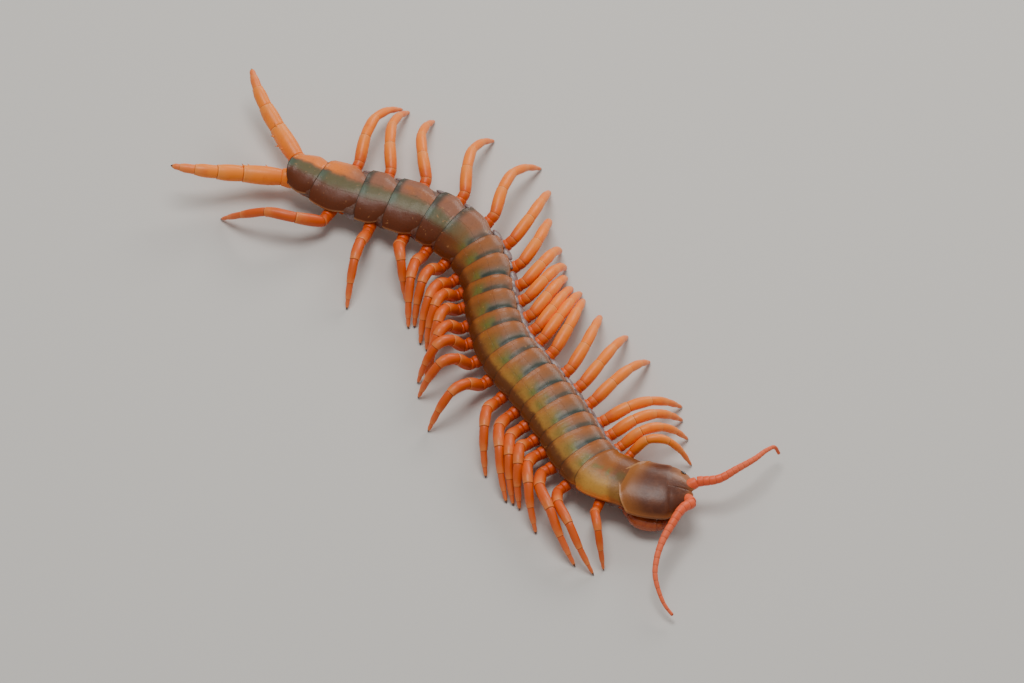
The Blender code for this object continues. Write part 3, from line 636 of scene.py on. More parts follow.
def mesh_object(name, bm, material):
    mesh = bpy.data.meshes.new(name)
    bm.to_mesh(mesh)
    bm.free()
    mesh.materials.append(material)
    return linked(name, mesh)


def finish_piece(name, bm, look, replaces=(), thickness=0.0):
    """Makes the object of a finished mesh, gives it its finish and lets it ride on the frame."""
    piece = mesh_object(name, bm, finish(look))
    piece.data.shade_smooth()
    if thickness:
        wall = piece.modifiers.new("wall", "SOLIDIFY")
        wall.thickness = thickness
        wall.offset = -1
    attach(piece, "root")
    if replaces:
        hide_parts(*replaces)


class NodeKit:
    """Adds nodes to a tree in a few words. Inputs are sockets, numbers, colours or names of tones."""

    def __init__(self, tree):
        self.tree = tree

    def put(self, socket, value):
        if isinstance(value, str):
            value = getattr(bpy.context.scene.centipede_tones, value)
        if isinstance(value, bpy.types.NodeSocket):
            self.tree.links.new(value, socket)
        elif socket.type == "RGBA":
            socket.default_value = (*value, 1)
        else:
            socket.default_value = value

    def node(self, kind, inputs=(), **settings):
        """A new node with its settings and the inputs that are given by name or number."""
        node = self.tree.nodes.new("ShaderNode" + kind)
        for name, value in settings.items():
            setattr(node, name, value)
        for name, value in inputs:
            self.put(node.inputs[name], value)
        return node

    def read(self, *names):
        return [self.node("Attribute", attribute_name=name).outputs["Fac"] for name in names]

    def place(self):
        return self.node("TexCoord").outputs["Object"]

    def math(self, operation, *values, clamped=False):
        return self.node("Math", enumerate(values), operation=operation, use_clamp=clamped).outputs[0]

    def plus(self, value, other, amount):
        """The value and so much of the other one."""
        return self.math("MULTIPLY_ADD", other, amount, value)

    def times(self, first, *others):
        for other in others:
            first = self.math("MULTIPLY", first, other)
        return first

    def away(self, value, middle):
        return self.math("ABSOLUTE", self.math("SUBTRACT", value, middle))

    def step(self, value, low, high):
        """0 below the low value, 1 over the high one, smooth between them. Low may be over high."""
        flip = low > high
        inputs = (("Value", value), ("From Min", min(low, high)), ("From Max", max(low, high)),
                  ("To Min", 1 if flip else 0), ("To Max", 0 if flip else 1))
        return self.node("MapRange", inputs, interpolation_type="SMOOTHSTEP").outputs["Result"]

    def window(self, value, low, full_from, full_to, high):
        """Two amounts: one grows up to the full range and the other fades after it."""
        return self.step(value, low, full_from), self.step(value, high, full_to)

    def mix(self, amount, first, second):
        return self.node("Mix", ((0, amount), (6, first), (7, second)), data_type="RGBA").outputs[2]

    def layers(self, colour, *layers):
        """Lays tones over a colour, one after another, each by the product of its amounts."""
        for tone, *amounts in layers:
            colour = self.mix(self.times(*amounts), colour, tone)
        return colour

    def noise(self, scale, detail=3.0, rough=0.55, distortion=0.0):
        inputs = (("Vector", self.place()), ("Scale", scale), ("Detail", detail), ("Roughness", rough),
                  ("Distortion", distortion))
        return self.node("TexNoise", inputs).outputs["Fac"]

    def mottle(self, scale, rough, distortion):
        """Blotches from 0 to 1, and the same around 0 to push edges about."""
        blotches = self.noise(scale, 4, rough, distortion)
        return blotches, self.math("SUBTRACT", blotches, 0.5)


def grain_group():
    """Fine pits, faint waves and uneven polish, shared by every finish of the shell."""
    tree = bpy.data.node_groups.get("cuticle grain")
    if tree:
        return tree
    tree = bpy.data.node_groups.new("cuticle grain", "ShaderNodeTree")
    for name, default in (("Pit Scale", 1800.0), ("Pit Depth", 0.3), ("Wave Scale", 260.0),
                          ("Wave Depth", 0.5), ("Relief", 0.0), ("Gloss", 0.3)):
        socket = tree.interface.new_socket(name, in_out="INPUT", socket_type="NodeSocketFloat")
        socket.default_value = default
    tree.interface.new_socket("Polish", in_out="OUTPUT", socket_type="NodeSocketFloat")
    tree.interface.new_socket("Normal", in_out="OUTPUT", socket_type="NodeSocketVector")
    kit = NodeKit(tree)
    given = tree.nodes.new("NodeGroupInput").outputs
    out = tree.nodes.new("NodeGroupOutput").inputs
    pits, waves = (kit.node("TexNoise", (("Vector", kit.place()), ("Scale", given[scale]), ("Detail", 2)))
                   for scale in ("Pit Scale", "Wave Scale"))
    height = kit.times(pits.outputs["Fac"], given["Pit Depth"])
    height = kit.plus(height, waves.outputs["Fac"], given["Wave Depth"])
    height = kit.math("ADD", height, given["Relief"])
    bump = kit.node("Bump", (("Distance", GRAIN_DEPTH), ("Height", height)))
    patches = kit.math("SUBTRACT", kit.noise(420, 3, 0.6), 0.5)
    kit.put(out["Polish"], kit.math("MULTIPLY_ADD", patches, 0.22, given["Gloss"], clamped=True))
    kit.put(out["Normal"], bump.outputs["Normal"])
    return tree


class Finish(NodeKit):
    """The node kit of a new material."""

    def __init__(self, name):
        self.material = bpy.data.materials.new(name)
        self.material.use_nodes = True
        super().__init__(self.material.node_tree)

    def shade(self, **values):
        for name, value in values.items():
            self.put(self.tree.nodes["Principled BSDF"].inputs[name.replace("_", " ").title()], value)

    def dress(self, colour, coat=0.0, coat_roughness=0.1, specular=0.5, **grain):
        """Gives the shader its colour and coat, and the shared grain its depths and gloss."""
        shared = self.node("Group", node_tree=grain_group())
        for name, value in grain.items():
            self.put(shared.inputs[name.replace("_", " ").title()], value)
        self.put(self.tree.nodes["Principled BSDF"].inputs["Specular IOR Level"], specular)
        self.shade(base_color=colour, roughness=shared.outputs["Polish"], normal=shared.outputs["Normal"],
                   coat_weight=coat, coat_roughness=coat_roughness)
        return self.material


def back_finish(name):
    """Brown flanks, an olive to green middle, dark crescents at the joins that are partly painted shadow under
    the lip in front, teal towards the tail. Painted sky sheen lies grey blue behind the crescents and mauve on
    the left side; painted shade darkens the right sides and the first plate under the head.
    """
    kit = Finish(name)
    step = kit.step
    across, body, front, rear, band = kit.read(*PLATE_VALUES)
    side = kit.math("ABSOLUTE", across)
    drift = kit.mottle(330, 0.62, 0.4)[1]
    place, worn_side = kit.plus(across, drift, 0.3), kit.plus(side, drift, 0.3)
    front, rear = kit.plus(front, drift, 1.6), kit.plus(rear, drift, 0.8)
    spots = step(kit.noise(150, 3, 0.6, 0.6), 0.38, 0.6)
    tail = step(body, 0.57, 0.7)
    reach = kit.times(*kit.window(place, -0.22, 0.02, 0.8, 0.98))
    bend = kit.plus(front, kit.math("POWER", kit.math("SUBTRACT", across, 0.38), 2.0), 1.6)
    # Partly the plate's own dark front band, partly painted shadow under the lip of the plate in front; reach
    # keeps it and the painted grey sheen to the middle and the left half.
    crescent_and_shadow = kit.times(step(bend, 2.4, 1.1), reach)
    suture = kit.times(step(kit.away(side, 0.3), 0.01, 0.0), step(body, 0.1, 0.2))

    front_plates = kit.layers(
        kit.mix(step(body, 0.2, 0.5), "near_ochre", "near_brown"),
        ("back_brown", step(place, -0.2, 0.2)),
        # Painted sky sheen: grey mauve over the left margins of the plates.
        ("far_mauve_sheen", step(place, 0.6, 0.95), 0.6),
        ("edge_orange", step(rear, 3.2, 0.6), 0.55),
        # Painted shade on the right sides of the plates, the side away from the light.
        ("flank_dark", step(place, -0.52, -0.78), 0.9),
        ("band_green", step(front, 5.8, 0.8), *kit.window(place, -0.66, -0.3, -0.02, 0.24),
         kit.plus(0.5, spots, 0.45)),
        ("neck_ochre", step(place, -0.3, -0.5), step(place, -0.74, -0.56), spots, step(body, 0.5, 0.3), 0.35),
        # Painted sky reflection: grey blue on the front slope of each plate, behind its crescent.
        ("band_grey_sheen", step(front, 4.8, 1.4), reach, band, 0.75),
        # Dark crescent at each join: partly dark band, partly painted shadow under the lip in front.
        ("band_dark", crescent_and_shadow, kit.plus(0.65, band, 0.35)))
    tail_middle = kit.mix(step(rear, 3.5, 0.6), "tail_olive", "tail_teal")
    tail_flank = kit.layers(
        # Left half of the rear plates: painted mauve sky sheen over the red brown.
        kit.mix(step(place, -0.1, 0.1), "tail_near", "tail_far_sheen"),
        ("edge_orange", *kit.window(place, 0.2, 0.34, 0.5, 0.8), step(kit.noise(90, 2), 0.45, 0.62), 0.7))
    tail_plates = kit.layers(
        kit.mix(step(worn_side, 0.1, 0.42), tail_middle, tail_flank),
        ("band_dark", step(rear, 2.9, 0.8), step(place, 0.1, 0.3), 0.9))
    first_plate = kit.layers(
        kit.mix(step(place, -0.1, -0.55), "neck_orange", "neck_ochre"),
        ("band_green", *kit.window(place, -0.45, -0.2, -0.05, 0.2), spots, 0.8),
        ("leg_red", step(place, -0.82, -1.0), 0.6),
        # Painted shadow: the front of the first plate darkens where it runs under the head.
        ("flank_dark", step(rear, 7.0, 9.5), 0.6))
    colour = kit.layers(
        kit.mix(step(body, 0.075, 0.045), kit.mix(tail, front_plates, tail_plates), first_plate),
        ("leg_orange", step(body, 0.86, 0.94), step(place, 0.2, 0.42), 0.75),
        ("seam_dark", step(rear, 0.35, 0.05), 0.6),
        ("rim_pale", step(side, 0.965, 0.985), kit.plus(0.25, tail, 0.5)),
        ("seam_dark", step(kit.noise(1500, 3, 0.6), 0.5, 0.78), 0.25),
        ("rim_pale", step(kit.noise(700, 2, 0.7), 0.66, 0.72), 0.35),
        ("seam_dark", suture, 0.16))
    return kit.dress(colour, 0.12, 0.14, 0.2, pit_depth=0.35, wave_depth=1.1, relief=kit.times(suture, -0.5),
                     gloss="back_gloss")


def belly_finish(name):
    """Dull amber belly plates with two fine sutures."""
    kit = Finish(name)
    side = kit.math("ABSOLUTE", *kit.read("across"))
    suture = kit.step(kit.away(side, 0.45), 0.04, 0.0)
    colour = kit.layers("belly", ("rim_pale", kit.step(kit.noise(400, 4, 0.6), 0.35, 0.7)),
                        ("seam_dark", suture, 0.5))
    return kit.dress(colour, 0.3, relief=kit.times(suture, -1.5), gloss=0.34)


def skin_finish(name):
    """Soft folded skin along the flanks: grey brown with painted shade in its pinches and wrinkle valleys,
    orange where the hips push it out.
    """
    kit = Finish(name)
    crease_shade, warm = kit.read("crease_shade", "warm")
    # Dark brown skin with paler blotches; the second dark layer is painted shade in the pinches and wrinkle
    # valleys.
    colour = kit.layers("flank_dark", ("skin_brown", kit.step(kit.noise(700, 4, 0.65), 0.3, 0.72)),
                        ("flank_dark", crease_shade, 0.7), ("leg_orange", warm, 0.8))
    wrinkles = kit.node("TexVoronoi", (("Vector", kit.place()), ("Scale", 1300)), feature="SMOOTH_F1")
    return kit.dress(colour, 0.2, 0.25, pit_depth=0.6, wave_depth=1.4, wave_scale=700,
                     relief=kit.times(wrinkles.outputs["Distance"], 1.2), gloss=0.42)


def shield_finish(name, brown):
    """Lavender grey side shields with dark brown blotches, more of them the larger brown is. The right
    shields' larger share is painted shade, on the side away from the light.
    """
    kit = Finish(name)
    colour = kit.layers("membrane_dark", ("membrane", kit.step(kit.noise(520, 4, 0.65), 0.3, 0.6)),
                        ("flank_dark", kit.step(kit.noise(230, 3), 0.62 - brown * 0.4, 0.7),
                         math.sqrt(brown)))
    return kit.dress(colour, 0.25, 0.2, pit_depth=0.5, wave_depth=1.8, wave_scale=600, gloss=0.34)


def leg_finish(name, tint, strength):
    """Orange legs: redder at the root, pinker at the foot, with fine dark joint lines after pale ends."""
    kit = Finish(name)
    share, joint, place = kit.read(*LIMB_VALUES)
    mottle, drift = kit.mottle(300, 0.6, 0.3)
    worn = kit.plus(share, drift, 0.25)
    colour = kit.layers(
        "leg_deep",
        ("leg_orange", kit.step(worn, 0.0, 0.2)),
        # A tint over the whole leg; the right legs' red tint is painted shade.
        (tint, strength),
        ("leg_foot", kit.step(worn, 0.6, 1.0), 0.8),
        ("leg_deep", kit.step(mottle, 0.5, 0.78), 0.45),
        ("leg_pale", kit.step(kit.plus(place, drift, 0.6), 0.55, 1.05), 0.3),
        ("leg_pale", *kit.window(place, 0.955, 0.97, 0.98, 0.99), 0.3),
        ("joint_dark", kit.step(joint, 0.3, 0.9), 0.65))
    return kit.dress(colour, 0.1, 0.2, 0.35, pit_depth=0.35, wave_depth=1.2, gloss="leg_gloss")


def antenna_finish(name):
    """Coral antennae: the first articles smooth, the rest dulled by fine hair."""
    kit = Finish(name)
    share, joint = kit.read("share", "joint")
    hairy = kit.step(share, 0.2, 0.4)
    colour = kit.layers("antenna_coral", ("leg_deep", kit.step(kit.noise(900, 4, 0.6), 0.35, 0.75), 0.5),
                        ("antenna_tip", hairy, 0.45), ("joint_dark", kit.step(joint, 0.2, 0.9), 0.35))
    return kit.dress(colour, 0.06, 0.2, 0.3, pit_scale=3200, pit_depth=kit.plus(0.2, hairy, 1.2),
                     wave_depth=0.5, gloss=kit.plus("leg_gloss", hairy, 0.22))


def head_finish(name):
    """Maroon dome, ochre brown towards the neck with a pale rear rim, and lighter lobes in front."""
    kit = Finish(name)
    step = kit.step
    along, across, edge = kit.read("along", "across", "edge")
    side = kit.math("ABSOLUTE", across)
    mottle, drift = kit.mottle(300, 0.62, 0.5)
    worn = kit.plus(along, drift, 0.12)
    round_dome = kit.plus(worn, kit.math("POWER", side, 2.0), -0.16)
    middle = kit.times(step(side, 0.02, 0.0), step(along, 0.6, 0.8))
    colour = kit.layers(
        "head_maroon",
        ("head_brown", step(mottle, 0.35, 0.7)),
        ("head_rear", step(round_dome, 0.34, 0.02), 0.9),
        ("head_front", step(worn, 0.6, 0.86), step(across, 0.15, 0.6), 0.8),
        ("head_front", step(worn, 0.9, 1.0), 0.55),
        ("head_front", step(side, 0.86, 1.0), 0.6),
        ("rim_pale", step(edge, 0.9, 0.3), 0.55),
        ("seam_dark", step(kit.noise(1500, 3, 0.6), 0.52, 0.78), 0.2),
        ("seam_dark", middle, 0.4))
    return kit.dress(colour, 0.1, 0.2, 0.34, pit_depth=0.3, wave_depth=0.7, relief=kit.times(middle, -0.8),
                     gloss="head_gloss")


def jaw_finish(name):
    """Orange-red poison claws whose points turn black."""
    kit = Finish(name)
    share, joint = kit.read("share", "joint")
    mottle, drift = kit.mottle(330, 0.6, 0.4)
    colour = kit.layers("jaw_orange", ("jaw_red", kit.step(mottle, 0.35, 0.72)),
                        ("joint_dark", kit.step(joint, 0.2, 0.9), 0.75),
                        ("claw_black", kit.step(kit.plus(share, drift, 0.08), 0.66, 0.86)))
    return kit.dress(colour, 0.4, 0.1, 0.4, gloss=0.24)


def claw_finish(name):
    """Brown points that turn black."""
    kit = Finish(name)
    worn = kit.plus(*kit.read("share"), kit.noise(900, 3, 0.6), 0.2)
    return kit.dress(kit.mix(kit.step(worn, 0.5, 1.1), "claw_brown", "claw_black"), 0.5, gloss=0.22)


def eye_finish(name):
    """Polished black lenses."""
    kit = Finish(name)
    colour = kit.mix(kit.noise(1500, 2, 0.5), "claw_black", "eye_sheen")
    return kit.dress(colour, 1.0, 0.03, pit_depth=0.05, wave_depth=0.1, gloss=0.1)


# The finishes by name: maker, name of the material, and what else the maker is told.
FINISHES = {
    "back": (back_finish, "back cuticle"), "belly": (belly_finish, "belly cuticle"),
    "skin": (skin_finish, "flank membrane"), "antenna": (antenna_finish, "antenna cuticle"),
    "head": (head_finish, "head cuticle"), "jaw": (jaw_finish, "poison claw cuticle"),
    "claw": (claw_finish, "claw horn"), "eye": (eye_finish, "eye lens"),
    # The right shields' extra dark brown is painted shade on the side away from the light.
    "shield_left": (shield_finish, "left shield cuticle", 0.3),
    "shield_right": (shield_finish, "right shield cuticle", 0.9),
    "leg_left": (leg_finish, "left leg cuticle", "leg_orange", 0),
    # The right legs, hips and breathing holes take the red tint as painted shade, on the side away from the
    # light.
    "leg_right": (leg_finish, "right leg cuticle", "leg_red", 0.85),
    "last_leg": (leg_finish, "last leg cuticle", "leg_yellow", 0.7),
}


def finish(look):
    """A named finish, which is made on its first use."""
    maker, name, *values = FINISHES[look]
    return bpy.data.materials.get(name) or maker(name, *values)


def back_plate(number, sizes):
    """One back plate: arched, narrower in front, with beaded sides, and its rear lip over the next plate."""
    start, end = STARTS[number - 1], STARTS[number]
    length = end - start
    body = (start + end) / 2 / SPINE_LINE.length
    flare = between(CORNER_FLARE, body)
    # Short plates get a weaker dark band and less painted grey sheen in front of it.
    band = 0.35 if number in SHORT_PLATES else 1.0
    first, last = number == 1, number == SEGMENTS
    bulge = length * LAST_PLATE_BULGE if last else FIRST_PLATE_BULGE if first else 0

    def place(u, v):
        across = crowded(u)
        side = abs(across)
        corner = ease((side - 0.7) / 0.3)
        if first:
            reach = FIRST_PLATE_FRONT + sizes.neck_reach / MM * ease((side - 0.1) / 0.55)
            front = start - reach * MM + corner * 0.8 * MM
        else:
            front = start - sizes.plate_tuck + corner * 0.5 * MM
        rear = end + sizes.plate_lip + bulge * (1 - side ** 2) - corner ** 2 * (1.0 - 0.45 * flare) * MM
        distance = front + (rear - front) * (1 - (1 - v) ** 1.25)
        local = (distance - start) / length
        bow = between(PLATE_BOW, local)
        bow += flare * (0.1 * ease((local - 0.15) / 0.5) - 0.1 * ease((0.5 - local) / 0.5))
        rise = between(PLATE_RISE, local)
        if first:
            bow = 0.95 + 0.05 * ease((local + 0.5) / 0.9)
            rise = 0.76 + 0.24 * ease((local + 0.45) / 0.8)
        if last:
            bow -= 0.2 * ease((local - 0.55) / 0.7)
        half = half_width(max(distance, NECK_WIDTH_AT)) * bow
        bead = (bell(side - 0.975, 0.014) - 0.6 * bell(side - 0.93, 0.02)) * (sizes.bead_height / MM)
        hollow = bell(side - 0.5, 0.2) * math.sin(math.pi * clamp(local))
        height = (PLATE_MARGIN + (PLATE_TOP - PLATE_MARGIN) * arch(across, *PLATE_ARCH)) * rise + bead * 0.8
        height += (0.26 if first else 0.12) * bell(rear - distance, 0.5 * MM) - 0.1 * hollow
        return trunk_point(distance, across * half + math.copysign(bead, across), height), (
            across, body + (distance - (start + end) / 2) / SPINE_LINE.length,
            (distance - start - sizes.plate_lip) / MM, (rear - distance) / MM, band)

    bm = bent_sheet(sizes.plate_columns, sizes.plate_rows, place, PLATE_VALUES)
    face_away(bm, trunk_point((start + end) / 2, 0, -6))
    return bm


def belly_plate(number):
    """One flat belly plate with rounded corners."""
    start, end = STARTS[number - 1], STARTS[number]

    def place(u, v):
        across = u * 2 - 1
        corner = ease((abs(across) - 0.6) / 0.4)
        front = start + BELLY_GAP + corner * 0.7 * MM
        rear = end - BELLY_GAP - corner * 0.9 * MM
        distance = front + (rear - front) * v
        local = (distance - start) / (end - start)
        half = half_width(distance) * BELLY_HALF * (0.93 + 0.07 * math.sin(math.pi * local))
        if number == SEGMENTS:
            half *= 1 - 0.35 * local
        height = BELLY_HEIGHT + 0.45 * abs(across) ** 3 - 0.12 * math.sin(math.pi * clamp(local))
        return trunk_point(distance, across * half, height), (across,)

    bm = bent_sheet(*BELLY_GRID, place, ("across",))
    face_away(bm, trunk_point((start + end) / 2, 0, 0))
    return bm


def trunk_skin(sizes):
    """The soft tube inside the plates, pinched between segments and folded along the flanks."""
    half_section = Line(smooth_line([Vector((x * SKIN_HALF, z, 0)) for x, z in SKIN_SECTION]))
    first, last = -SKIN_AHEAD, SPINE_LINE.length + SKIN_BEHIND

    def place(u, v):
        distance = first + (last - first) * v
        number = clamp(bisect_right(STARTS, distance) - 1, 0, SEGMENTS - 1)
        length = STARTS[number + 1] - STARTS[number]
        local = clamp((distance - STARTS[number]) / length)
        sign = 1 if u <= 0.5 else -1
        point = half_section.at((u * 2 if sign > 0 else 2 - u * 2) * half_section.length)
        across, height = point.x / SKIN_HALF, point.y
        flank = bell(height + 0.9, 1.7) if abs(across) > 0.6 else 0
        pinch = bell(min(local, 1 - local) * length / MM, 0.9)
        hip = bell(distance - (STARTS[number] + STARTS[number + 1]) / 2, 2.2 * MM)
        seed = Vector((distance / MM * 0.9, height * 0.8 + sign * 9, 0))
        wrinkle = noise.noise(seed) * 0.5 + noise.noise(seed * 2.3) * 0.3
        ridge = math.sin(distance / MM * 2.6 + height * 0.7 + sign)
        out = flank * (hip * 0.35 - pinch * 0.55 + wrinkle * 0.55 + ridge * 0.07)
        belly = ease((-height - 3) / 1.2)
        sideways = across * half_width(distance) * (1 - 0.05 * pinch * (1 - belly)) + out
        # Painted shade: darker where the skin is pinched between segments and in the valleys of its wrinkles.
        crease_shade = clamp(0.5 * pinch - wrinkle * 0.9 - ridge * 0.15)
        warm = flank * hip * ease((-height - 0.2) / 1.6)
        return trunk_point(distance, sign * sideways, height + belly * pinch * 0.25), (crease_shade, warm)

    bm = bent_sheet(sizes.skin_columns, sizes.skin_rows, place, ("crease_shade", "warm"))
    close_tube(bm)
    return bm


def breathing_holes(side):
    """Small oval rims whose pits are painted dark as shade, half way up the flank."""
    bm = bmesh.new()
    for number in SPIRACLES:
        distance = STARTS[number - 1] + (STARTS[number] - STARTS[number - 1]) * 0.3
        seat = trunk_point(distance, side * half_width(distance) * 0.9, 0.05)
        centre, left, up, ahead = trunk_frame(distance)
        line = Line([seat - left * side * 0.5 * MM, seat + left * side * 0.6 * MM])
        rings = [(along * MM, size, (0.5, joint, 0.5)) for along, size, joint in SPIRACLE_RINGS]
        limb(line, rings, POINTS_ROUND["breathing hole"], bm, up, SPIRACLE_FLAT)
    return bm


def side_shields(side):
    """The small domed shields in the soft flank: a large one at each join and a small one over each hip."""
    bm = bmesh.new()
    for number in range(1, SEGMENTS):
        for local, out, height, (along, tall, deep) in SIDE_SHIELDS:
            distance = STARTS[number - 1] + (STARTS[number] - STARTS[number - 1]) * local
            centre, left, up, ahead = trunk_frame(distance)
            seat = trunk_point(distance, side * (half_width(distance) + out - SHIELD_TUCK[side]), height)
            outward = (left * side + up * 0.5).normalized()
            scale = Matrix.Diagonal((along * MM, tall * MM, deep * MM, 1))
            turn = axes_matrix(ahead, ahead.cross(outward), outward)
            bmesh.ops.create_uvsphere(bm, u_segments=18, v_segments=10, radius=1,
                                      matrix=Matrix.Translation(seat) @ turn @ scale)
    bmesh.ops.recalc_face_normals(bm, faces=bm.faces)
    return bm


def jointed_leg(points, articles):
    """The frame's smooth line of a leg, and the line of its straight articles."""
    smooth = Line(smooth_line(points))
    joints = [smooth.at(share * smooth.length) for share in (0, *(article[0] for article in articles), 1)]
    return smooth, Line(jointed_line(joints, JOINT_SOFTNESS))


def add_claw(claws, line, articles, radius, steps=8):
    """Adds a slim point from the last article's end to the end of the line."""
    start = articles[-1][0]
    rings = []
    for step in range(steps + 1):
        place = step / steps
        share = start - 0.006 + (1 - start + 0.003) * place
        rings.append((share * line.length, radius * (1 - place) ** 0.7 + 0.04, (place, 0, 0)))
    limb(line, rings, POINTS_ROUND["claw"], claws)


def add_spine(bm, line, share, angle, side):
    """Adds one spine to the inner side of a last leg."""
    axis = line.direction(share * line.length)
    inward = UP.cross(axis).normalized() * side
    turn = math.radians(angle)
    way = inward * math.sin(turn) + UP * math.cos(turn)
    root = line.at(share * line.length) + way * ULTIMATE_RADIUS * 0.7 * MM
    tip = root + (way + axis * 0.7).normalized() * (SPINE_LENGTH + ULTIMATE_RADIUS * 0.3 * MM)
    spine = Line([root, tip])
    rings = [(spine.length * place, 0.55 * (1 - place) ** 0.8 + 0.03, (share, place ** 3, 0.9))
             for place in SPINE_PLACES]
    limb(spine, rings, POINTS_ROUND["spine"], bm, axis)


def antenna_rings(length):
    """Rings of an antenna that tapers over its articles to a round tip."""
    rings = []
    for index in range(ANTENNA_ARTICLES):
        for inside, size, joint in ANTENNA_RINGS:
            share = (index + inside) / ANTENNA_ARTICLES
            radius = ANTENNA_RADIUS[0] + (ANTENNA_RADIUS[1] - ANTENNA_RADIUS[0]) * share ** 0.8
            rings.append((share * length, radius * size, (share, joint, inside)))
    return rings + [(share * length, size, (share, 0, 1)) for share, size in ANTENNA_TIP]


def head_shield(u, v):
    """A point of the head shield, from its left to its right and from its rear rim to its front lobes."""
    across = crowded(u)
    side = abs(across)
    rear = -0.06 + 0.27 * side ** 2.2
    front = 1.0 + 0.03 * (1 - side ** 2) - 0.03 * bell(across, 0.16)
    share = rear + (front - rear) * v
    behind = (share - rear) * HEAD_LENGTH / MM
    half, top, rim = (table(clamp(share)) for table in (HEAD_HALF, HEAD_TOP, HEAD_RIM))
    bead = bell(side - 0.98, 0.012) * 0.1
    height = rim + (top - rim) * arch(across, *HEAD_ARCH) + bead + 0.15
    height += 0.22 * bell(behind, 0.9) + 0.12 * bell(behind, 0.35)
    height -= 0.1 * bell(across, 0.03) * ease((share - 0.72) / 0.2)
    height += 0.12 * bell(side - 0.45, 0.25) * ease((share - 0.6) / 0.25)
    return head_point(share, across * half + math.copysign(bead, across), height), (share, across, behind)


def head_core(u, v):
    """A point of the closed body under the shield, narrow behind, where the first plate lies over it."""
    turn = u * 2 * math.pi
    share = 0.02 + 0.96 * v
    cap = math.sin(math.pi * clamp(v * 10) / 2) * math.sin(math.pi * min((1 - v) * 10, 1) / 2) ** 0.5
    cap = max(cap, 0.02)
    half = HEAD_HALF(share) * (0.72 + 0.23 * ease(share / 0.3)) * cap
    top, rim = HEAD_TOP(share) - 0.25 - 0.5 * ease((0.25 - share) / 0.25), HEAD_RIM(share)
    across = math.cos(turn)
    if math.sin(turn) >= 0:
        height = rim + (top - rim) * arch(across, *HEAD_ARCH)
    else:
        mouth = math.exp(-(across / 0.42) ** 4) * ease((share - 0.5) / 0.1) * ease((0.9 - share) / 0.08)
        height = rim + (HEAD_UNDERSIDE - rim - 1.5 * mouth) * (-math.sin(turn)) ** 0.4
    middle = (top + HEAD_UNDERSIDE) / 2
    return head_point(share, across * half, middle + (height - middle) * cap), (share, 0)


def jaw_base(u, v):
    """A point of the rounded shield under the head that carries the poison claws."""
    turn = u * 2 * math.pi
    ahead = 0.1 + 11.0 * v
    size = max(ease(v * 9) * ease((1 - v) * 12) ** 0.5, 0.03)
    across, lift = (math.copysign(abs(value) ** 0.75, value) for value in (math.cos(turn), math.sin(turn)))
    groove = JAW_GROOVE * bell(across, 0.05) if lift < 0 else 0
    half = JAW_BASE_HALF(ahead) * (0.75 + 0.25 * size)
    height = JAW_BASE_MIDDLE + lift * JAW_BASE_TALL * size + groove
    return jaw_point(ahead, across * half, height), (0.1, 1.0 if groove > JAW_GROOVE / 2 else 0.0)


def jaw_stub(side):
    """The line of the stub that carries a poison claw."""
    return Line([jaw_point(ahead, outward * side, JAW_HEIGHT + JAW_STUB_RISE) for ahead, outward in JAW_STUB])


def poison_claw(side, steps=14):
    """One poison claw: a stout article, two short ones and a curved point."""
    stub = jaw_stub(side)
    outer = stub.points[1]
    axis = (outer - stub.points[0]).normalized()
    points = [jaw_point(ahead, outward * side, JAW_HEIGHT) for ahead, outward in JAW_PATH]
    line = Line(smooth_line([outer + axis * GAP, outer + axis * LEAD] + points))
    rings = article_rings(JAW_ARTICLES, JAW_RADIUS, line.length)
    start = JAW_ARTICLES[-1][0]
    for step in range(steps + 1):
        place = step / steps
        share = start + (1 - start) * place
        size = (0.7 * (1 - place) ** 0.85 + 0.03) * (0.92 + 0.08 * min(place * 12, 1))
        rings.append((share * line.length, size * JAW_RADIUS, (share, max(0, 1 - place * steps), place)))
    return limb(line, rings, POINTS_ROUND["poison claw"])


def add_teeth(teeth, side):
    """Adds the teeth of one side to the front edge of the claws' shield."""
    for index in range(TEETH):
        outward = side * (TOOTH_SIDE + TOOTH_SIDE_STEP * index)
        root = jaw_point(TOOTH_ROOT + TOOTH_ROOT_STEP * index, outward, JAW_BASE_MIDDLE - 0.3)
        tip = jaw_point(TOOTH_TIP + TOOTH_TIP_STEP * index, outward, JAW_BASE_MIDDLE - 0.4)
        line = Line([root, tip])
        rings = [(line.length * place, TOOTH_RADIUS * (1 - place) ** 0.6 + 0.05, (0.6 + 0.4 * place, 0, 0))
                 for place in TOOTH_PLACES]
        limb(line, rings, POINTS_ROUND["tooth"], teeth)


